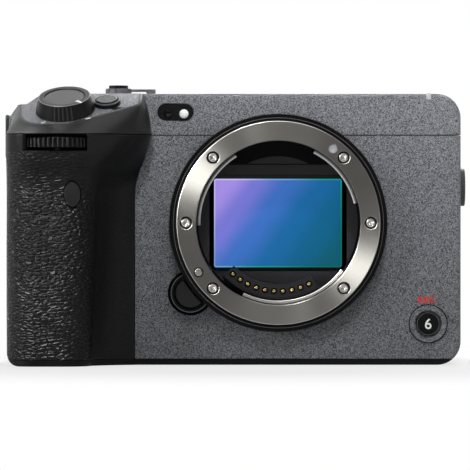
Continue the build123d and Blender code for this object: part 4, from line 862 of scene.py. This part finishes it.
# Sensor: a glass plate with ground edges over the chip. The thin films' coloured reflection, violet at the upper left
# through blue to teal at the right, is painted on and given mostly as glow, and the ground edges glow in paler
# colours as a painted highlight.
def glowing_film_finish(name, stops, roughness, **sockets):
    """Chip glass whose painted reflection runs across it through the given stops, shown mostly as glow."""
    finish, tree, shader = new_finish(name, stops[len(stops) // 2][1], roughness, **sockets)
    place = add_node(tree, "ShaderNodeTexCoord").outputs["Object"]
    split = add_node(tree, "ShaderNodeSeparateXYZ", {0: place}).outputs
    across = calculate(tree, "MULTIPLY", split["X"], 0.8 / 0.0363)
    down = calculate(tree, "MULTIPLY", split["Z"], -17.0)
    shift = calculate(tree, "ADD", calculate(tree, "ADD", across, 0.5), down)
    cloud = calculate(tree, "MULTIPLY", speckled(tree, 80.0, 1.0).outputs["Cloud"], 0.10)
    shift = calculate(tree, "SUBTRACT", calculate(tree, "ADD", shift, cloud), 0.05)
    ramp = add_node(tree, "ShaderNodeValToRGB", {0: shift})
    ramp.color_ramp.interpolation = "EASE"
    ramp.color_ramp.elements[0].position, ramp.color_ramp.elements[0].color = stops[0]
    ramp.color_ramp.elements[1].position, ramp.color_ramp.elements[1].color = stops[-1]
    for spot, colour in stops[1:-1]:
        ramp.color_ramp.elements.new(spot).color = colour
    colour = ramp.outputs["Color"]
    # Painted glow: the base is dimmed to 0.15 and the colour given as light of its own, which also hides the throat's
    # shade.
    base = add_node(tree, "ShaderNodeVectorMath", {0: colour, "Scale": 0.15}, operation="SCALE")
    tree.links.new(base.outputs[0], shader.inputs["Base Color"])
    tree.links.new(colour, shader.inputs["Emission Color"])
    return finish


film_reflection_stops = [
    (0.0, tone(170, 146, 236)), (0.17, tone(122, 122, 218)), (0.38, tone(60, 112, 196)),
    (0.60, tone(20, 104, 164)), (0.80, tone(4, 98, 140)), (1.0, tone(2, 90, 112)),
]
edge_highlight_stops = [
    (0.0, tone(206, 204, 248)), (0.3, tone(116, 172, 216)), (0.6, tone(36, 154, 140)), (1.0, tone(22, 112, 100))
]
# Painted reflection and glow on the glass face, and a paler painted highlight on its ground edges.
glowing_film_glass = glowing_film_finish("glowing_film_glass", film_reflection_stops, 0.3, Emission_Strength=0.88, specular=0.3)
edge_highlight_glass = glowing_film_finish("edge_highlight_glass", edge_highlight_stops, 0.4, Emission_Strength=0.88)
softened(
    "sensor_glass", 0.0, glowing_film_glass, "clear_glass", "sensor_stage", others=(edge_highlight_glass,), corner=0.7,
    choose=lambda spot, normal: 0 if normal.y < -0.9 else 1,
)
chip_grey = grained_finish("chip_grey", (20, 20, 22), (34, 34, 36), 0.4, 900.0, 1.6)
softened("image_sensor", 0.0, chip_grey, "sensor_chip", "sensor_stage")

# Chassis, stabiliser and cooling: cast and pressed alloy plates behind the mount, with the circuit board and the
# fan that draws air up through the base and out at the side.
cast_alloy = grained_finish(
    "cast_alloy", (138, 138, 140), (176, 176, 178), 0.45, 1400.0, 1.8, 0.3, 0.00003, Metallic=0.9
)
for node in ("chassis", "stabiliser_base", "heat_sink"):
    softened(node, 0.0, cast_alloy, "frame_alloy")
for node in ("sensor_stage", "sensor_frame"):
    softened(node, 0.0, cast_alloy, "frame_alloy", node)
solder_mask = grained_finish("solder_mask", (12, 44, 28), (26, 78, 50), 0.35, 420.0, 4.0, 0.2, 0.00003)
softened("main_board", 0.0, solder_mask, "circuit_board")
softened("fan_housing", 0.0, black_satin, "black_plastic")
softened("fan_rotor", 0.0, black_satin, "black_plastic", "fan")

# Doors and sockets: soft black doors flush in the sides, and the sockets they cover.
door_rubber = grained_finish("door_rubber", (22, 22, 24), (34, 34, 36), 0.68, 1800.0, 1.8, 0.35, 0.00004)
for node in ("card_door", "jack_door", "data_door"):
    softened(node, 0.15, door_rubber, "door_rubber", node)
softened("sockets", 0.1, black_satin, "black_plastic")
thumb_leather = pebbled_finish("thumb_leather", (8, 8, 9), (30, 30, 31), 0.5, 1000.0, 0.8, 0.0002)
softened("thumb_rest", 0.0, thumb_leather, "door_rubber")

# Accessory places: the shoe is pressed steel, let into the top, and the thread bushes are turned steel with a
# coarse thread. The two side bushes stand proud in dark painted bosses.
shoe_steel = grained_finish("shoe_steel", (150, 150, 152), (176, 176, 178), 0.35, 1600.0, 1.6, Metallic=1.0)
softened("accessory_shoe", 0.15, shoe_steel, "screw_steel")
boss_paint = grained_finish("boss_paint", (34, 36, 36), (66, 68, 68), 0.5, 3600.0, 3.0, 0.4, 0.00003)
thread_places = [
    (Matrix.Translation((-0.023, 0.015, 0.0363)), 5.9), (Matrix.Translation((0.036, 0.015, 0.0363)), 5.9),
    (Matrix.Translation((0.036, 0.040, 0.0363)), 5.9),
    (Matrix.Translation((0.0528, 0.014, 0.0101)) @ Matrix.Rotation(math.radians(90), 4, "Y"), 7.2),
    (Matrix.Translation((-0.0768, 0.013, 0.02435)) @ Matrix.Rotation(math.radians(-90), 4, "Y"), 5.8),
    (Matrix.Translation((0.0, 0.025, -0.0399)) @ Matrix.Rotation(math.radians(180), 4, "X"), 4.9),
]
thread_pitch, thread_root, thread_crest, thread_start = 1.0, 2.59, 2.35, -0.5
sleeves = []
for place, depth in thread_places:
    level = thread_start
    profile = [(2.62, level)]
    while level - thread_pitch > -depth:
        profile += [(thread_crest, level - thread_pitch * 0.5), (thread_root, level - thread_pitch)]
        level -= thread_pitch
    profile += [(2.9, level), (2.9, thread_start)]
    sleeves.append(lathe("thread", profile, shoe_steel, place, 48, 20.0))
bore_rim = 3.3


def boss_part(spot, normal):
    """Painted boss of a side bush, outside its bore, or bare steel."""
    right_boss = spot.x > 51.0 and math.hypot(spot.y - 14.0, spot.z - 10.1) > bore_rim
    left_boss = spot.x < -75.5 and math.hypot(spot.y - 13.0, spot.z - 24.35) > bore_rim
    return 1 if right_boss or left_boss else 0


softened(
    "thread_bushes", 0.35, shoe_steel, "screw_steel", others=(boss_paint,), extra=sleeves, choose=boss_part,
)
softened("case_screws", 0.06, bright_steel, "screw_steel")

# Front window and tally lamp: a black glass oval beside the grip over the light lens and the dark eye beside it,
# and a small pale lamp on the top edge.
window_glass = grained_finish("window_glass", (16, 16, 18), (20, 20, 22), 0.15, 2000.0, 1.2, 0.02)
softened("front_window", 0.12, window_glass, "clear_glass")
lamp_white = grained_finish("lamp_white", (214, 215, 217), (240, 241, 242), 0.25, 1400.0, 1.8)
eye_glass = grained_finish("eye_glass", (6, 6, 8), (10, 10, 13), 0.06, 1500.0, 1.2, 0.02)
lens_front = 4.75
lamp_x, lamp_z, eye_x, eye_z = -26.5, 30.65, -30.9, 30.75
domes = []
for x, z, radius, finish in ((lamp_x, lamp_z, 1.27, lamp_white), (eye_x, eye_z, 1.1, eye_glass)):
    curve = [(radius * math.sin(math.radians(a)), 0.45 * math.cos(math.radians(a))) for a in range(0, 91, 15)]
    domes.append(lathe("dome", curve + [(radius, -0.6), (0, -0.6)], finish, facing_front(x, lens_front, z), 40, 60.0))
eye_ring = lathe(
    "eye_ring", [(0.62, 0.32), (0.74, 0.42), (0.86, 0.30), (0.74, 0.2)], window_glass,
    facing_front(eye_x, lens_front, eye_z), 40, 60.0,
)
tally_white = grained_finish("tally_white", (176, 177, 178), (196, 197, 198), 0.3, 1400.0, 1.8)
tally = part_of("lamp_lenses", lambda spot: spot.x > 0, 0.12, tally_white)
joined("lamp_lenses", "lamp_lens", "root", domes + [eye_ring, tally], "lamp_lenses")

# Shutter button and lever: a bare grey disc in the middle of a black lever ring, which has a few finger ribs at
# the front and a white pointer. Both lean with the sloping plate.
slope_origin, slope_side, slope_back = (-62.0, -16.0, 26.8), 0.07, 0.45


def on_plate(x, y):
    """Frame on the sloping plate over a point in plan, its Z out of the plate."""
    z = slope_origin[2] + slope_side * (x - slope_origin[0]) + slope_back * (y - slope_origin[1])
    out = Vector((-slope_side, -slope_back, 1)).normalized()
    across = Vector((1, 0, slope_side)).normalized()
    up = out.cross(across)
    turned = Matrix((across, up, out)).transposed().to_4x4()
    return Matrix.Translation(Vector((x, y, z)) * mm) @ turned


dial_frame = on_plate(-59.4, -6.5)
disc_grey = grained_finish("disc_grey", (58, 58, 60), (72, 72, 74), 0.5, 3000.0, 1.6, 0.15, specular=0.4)
softened("shutter_button", 0.2, disc_grey, "black_metal", "shutter_button")
lever_black = grained_finish("lever_black", (8, 8, 9), (14, 14, 15), 0.36, 2800.0, 1.6, 0.15, 0.00002, specular=0.22)
ring_top = 4.28 * mm


def highlight_line(name, radii, top, base, place, segments):
    """Thin raised ring in pale grey, a painted highlight, from the four radii of its profile."""
    a, b, c, d = radii
    return lathe(name, [(a, 0.0), (b, top), (c, top), (d, 0.0), (d, base), (a, base)], edge_highlight_grey, place, segments, 30.0)


# A thin pale grey ring on the lever's rim, a painted highlight.
rim_highlight = highlight_line(
    "rim_highlight", (6.98, 7.06, 7.18, 7.24), 0.07, -0.3, dial_frame @ Matrix.Translation((0, 0, ring_top)), 96
)
rib_black = grained_finish("rib_black", (10, 10, 11), (18, 18, 19), 0.28, 2800.0, 1.6, 0.15, 0.00002, specular=0.7)
rib_points = []
for along, lean in ((0.35, 8.42), (3.9, 7.52)):
    for side in (-1, 1):
        rib_points += [(lean - 7.9, side * 0.30, along), (lean - 7.9 + 0.30, side * 0.16, along)]
rib_mesh = bpy.data.meshes.new("rib")
rib_mesh.from_pydata(
    [tuple(Vector(p) * mm) for p in rib_points], [],
    [(0, 1, 3, 2), (4, 6, 7, 5), (0, 4, 5, 1), (1, 5, 7, 3), (3, 7, 6, 2), (2, 6, 4, 0)],
)
ribs = ring_of("lever_ribs", rib_mesh, dial_frame, rib_black, 5, 7.7, -110, 8.4)
white_ink = grained_finish("white_ink", (236, 236, 234), (250, 250, 248), 0.5, 2500.0, 1.2, 0.05)


def ink_mark(name, outline, place, thickness=0.05):
    """Thin raised mark from an outline in mm, laid on a frame."""
    count = len(outline)
    points = [(x * mm, y * mm, 0.0) for x, y in outline] + [(x * mm, y * mm, thickness * mm) for x, y in outline]
    faces = [tuple(reversed(range(count))), tuple(range(count, 2 * count))]
    faces += [(k, (k + 1) % count, count + (k + 1) % count, count + k) for k in range(count)]
    mesh = bpy.data.meshes.new(name)
    mesh.from_pydata(points, [], faces)
    mesh.transform(place)
    mesh.materials.append(white_ink)
    return mesh


pointer = ink_mark(
    "pointer", [(6.0, -0.55), (8.2, -0.25), (8.2, 0.25), (6.0, 0.55)],
    dial_frame @ Matrix.Rotation(math.radians(-48), 4, "Z") @ Matrix.Translation((-0.0009, 0, 0.00428)),
)
grip_side.objects.link(softened("shutter_lever", 0.22, lever_black, "black_metal", "zoom_lever", angle=30.0))
grip_side.objects.link(joined("lever_pointer", "black_metal", "zoom_lever", [pointer, rim_highlight, ribs]))
plate_marks = []
for x, y, turn, length in ((-65.3, -13.3, 30, 1.3), (-52.9, -12.7, 20, 1.6)):
    bar = [(-length / 2, -0.25), (length / 2, -0.25), (length / 2, 0.25), (-length / 2, 0.25)]
    plate_marks.append(
        ink_mark("plate_mark", bar, on_plate(x, y) @ Matrix.Rotation(math.radians(turn), 4, "Z"))
    )
joined("plate_marks", "cover_paint", "root", plate_marks)

# Dials: black glossy wheels with rounded ribs pressed into their edges, the front one in its slot under the
# shoulder and the rear one at the thumb. Each turns on a steel stem.
def dial(name, x, y, height, radius, thickness, count, shaft):
    """Wheel with ribs round its edge, and its shaft as (radius, low, high)."""
    drum = radius - 0.5
    half = thickness / 2
    place = Matrix.Translation(Vector((x, y, height)) * mm)
    wheel = [
        (0, half), (drum - 0.7, half), (drum - 0.15, half - 0.25), (drum, half - 0.6), (drum, 0.6 - half),
        (drum - 0.15, 0.25 - half), (drum - 0.7, -half), (0, -half),
    ]
    width = 2 * math.pi * radius / count * 0.30
    section = [
        (-0.2, -width), (0.28, -width * 0.9), (0.5, -width * 0.35), (0.5, width * 0.35), (0.28, width * 0.9),
        (-0.2, width),
    ]
    points, faces = [], []
    for level, pull in ((-half + 0.1, 0.45), (-half + 0.4, 0.0), (half - 0.4, 0.0), (half - 0.1, 0.45)):
        points += [((out - pull) * mm, side * mm, level * mm) for out, side in section]
    n = len(section)
    for r in range(3):
        faces += [(r * n + k, r * n + (k + 1) % n, (r + 1) * n + (k + 1) % n, (r + 1) * n + k) for k in range(n)]
    faces += [tuple(reversed(range(n))), tuple(range(3 * n, 4 * n))]
    rib = bpy.data.meshes.new("dial_rib")
    rib.from_pydata(points, [], faces)
    smoothed(rib)
    ribs = ring_of(name + "_ribs", rib, place, rib_black, count, drum, 0, 360 / count)
    reach, low, high = shaft
    stem = lathe(name + "_stem", [(0, low), (reach, low), (reach, high), (0, high)], bright_steel, place, 32)
    joined(name, "black_metal", name, [lathe(name + "_wheel", wheel, lever_black, place), ribs, stem], name)


dial("front_dial", -61.6, -9.0, 22.2, 11.0, 3.2, 50, (1.2, -3.6, 2.3))
dial("rear_dial", -58.0, 41.4, 30.0, 9.0, 3.8, 44, (1.5, 0.0, 4.75))

# Buttons: black moulded caps in their collars. The front record button carries a plain number, with the word for
# what it does printed above it in red.
cap_dark = grained_finish("cap_dark", (8, 8, 9), (13, 13, 14), 0.5, 2800.0, 1.4, 0.15, 0.00002, specular=0.2)
# The collar's thin pale ring is a painted highlight on its edge.
collar_highlight = highlight_line(
    "collar_highlight", (3.38, 3.44, 3.56, 3.62), 0.06, -0.3,
    on_plate(collar_x, -4.0) @ Matrix.Translation((0, 0, 1.3 * mm)), 64,
)
joined("custom_collar_highlight", "black_metal", "root", [collar_highlight])
cap_gloss = grained_finish("cap_gloss", (22, 22, 23), (30, 30, 31), 0.2, 2800.0, 1.4, 0.05, specular=0.9)
softened("custom_button", 0.2, cap_gloss, "black_plastic", "custom_button")
softened("front_record_button", 0.15, cap_dark, "black_plastic", "front_record_button")
softened("top_record_button", 0.2, cap_dark, "black_plastic", "top_record_button")
softened("sensitivity_button", 0.2, cap_dark, "black_plastic", "sensitivity_button")
softened("joystick_gimbal", 0.0, black_satin, "black_plastic", "gimbal")
softened("joystick", 0.0, door_rubber, "black_plastic", "joystick")
softened("control_wheel", 0.0, black_anodised, "black_metal", "control_wheel")
softened("centre_button", 0.0, cap_dark, "black_plastic", "centre_button")
softened("menu_button", 0.0, cap_dark, "black_plastic", "menu_button")
red_ink = grained_finish("red_ink", (216, 34, 20), (228, 46, 30), 0.6, 2500.0, 1.2, 0.05)


def lettering(name, text, size, place, finish, bold=0.0, stretch=1.0):
    """Generic lettering as a thin closed mesh, centred on a frame that faces the viewer."""
    curve = bpy.data.curves.new(name, "FONT")
    curve.body = text
    curve.size = size * mm
    curve.align_x = "CENTER"
    curve.align_y = "CENTER"
    curve.extrude = 0.03 * mm
    curve.offset = bold * mm
    source = placed(name, curve)
    graph = bpy.context.evaluated_depsgraph_get()
    mesh = bpy.data.meshes.new_from_object(source.evaluated_get(graph))
    bpy.data.objects.remove(source)
    low = np.min([v.co[:] for v in mesh.vertices], axis=0)
    high = np.max([v.co[:] for v in mesh.vertices], axis=0)
    middle = Vector((low + high) / 2)
    mesh.transform(place @ Matrix.Diagonal((stretch, 1, 1, 1)) @ Matrix.Translation(-middle))
    mesh.materials.clear()
    mesh.materials.append(finish)
    return mesh


record_x, record_z = 42.15, -28.35
digit = lettering("button_number", "6", 4.1, facing_front(record_x, 4.58, record_z), white_ink, bold=0.05)
# A thin pale ring on the cap's edge is a painted highlight.
cap_highlight = highlight_line(
    "cap_highlight", (3.04, 3.08, 3.13, 3.17), 0.04, -0.2, facing_front(record_x, 4.6, record_z), 64
)
# A black ring round the collar is painted shade.
collar_gap_shade = lathe(
    "collar_gap_shade", ledge(5.2, 5.45, 5.5, 0.04, -0.3), gap_shade_black, facing_front(record_x, 5.0, record_z), 96, 30.0
)
joined("button_number", "black_plastic", "front_record_button", [digit, cap_highlight])
joined("collar_gap_shade", "black_plastic", "root", [collar_gap_shade])
word = lettering("record_word", "REC", 2.2, facing_front(41.8, 4.98, -21.6), red_ink, bold=0.06, stretch=1.32)
joined("record_word", "cover_paint", "root", [word])

# Power lever: a mid-grey ring with a short arm, and the cap button in its middle.
lever_grey = grained_finish("lever_grey", (66, 66, 69), (92, 92, 95), 0.5, 2800.0, 2.2, 0.15, 0.00002, specular=0.4)
softened("power_lever", 0.15, lever_grey, "black_metal", "power_lever")
softened("lever_cap_button", 0.15, cap_dark, "black_metal", "lever_cap")

# Monitor: a black moulded case on an arm that swings out from the right, with a dark glass screen.
softened("monitor_arm", 0.15, black_satin, "black_plastic", "monitor")
softened("monitor_case", 0.15, black_satin, "black_plastic", "monitor")
screen_glass = grained_finish("screen_glass", (7, 7, 9), (9, 9, 11), 0.07, 400.0, 1.2, 0.01)
softened("monitor_glass", 0.05, screen_glass, "clear_glass", "monitor")
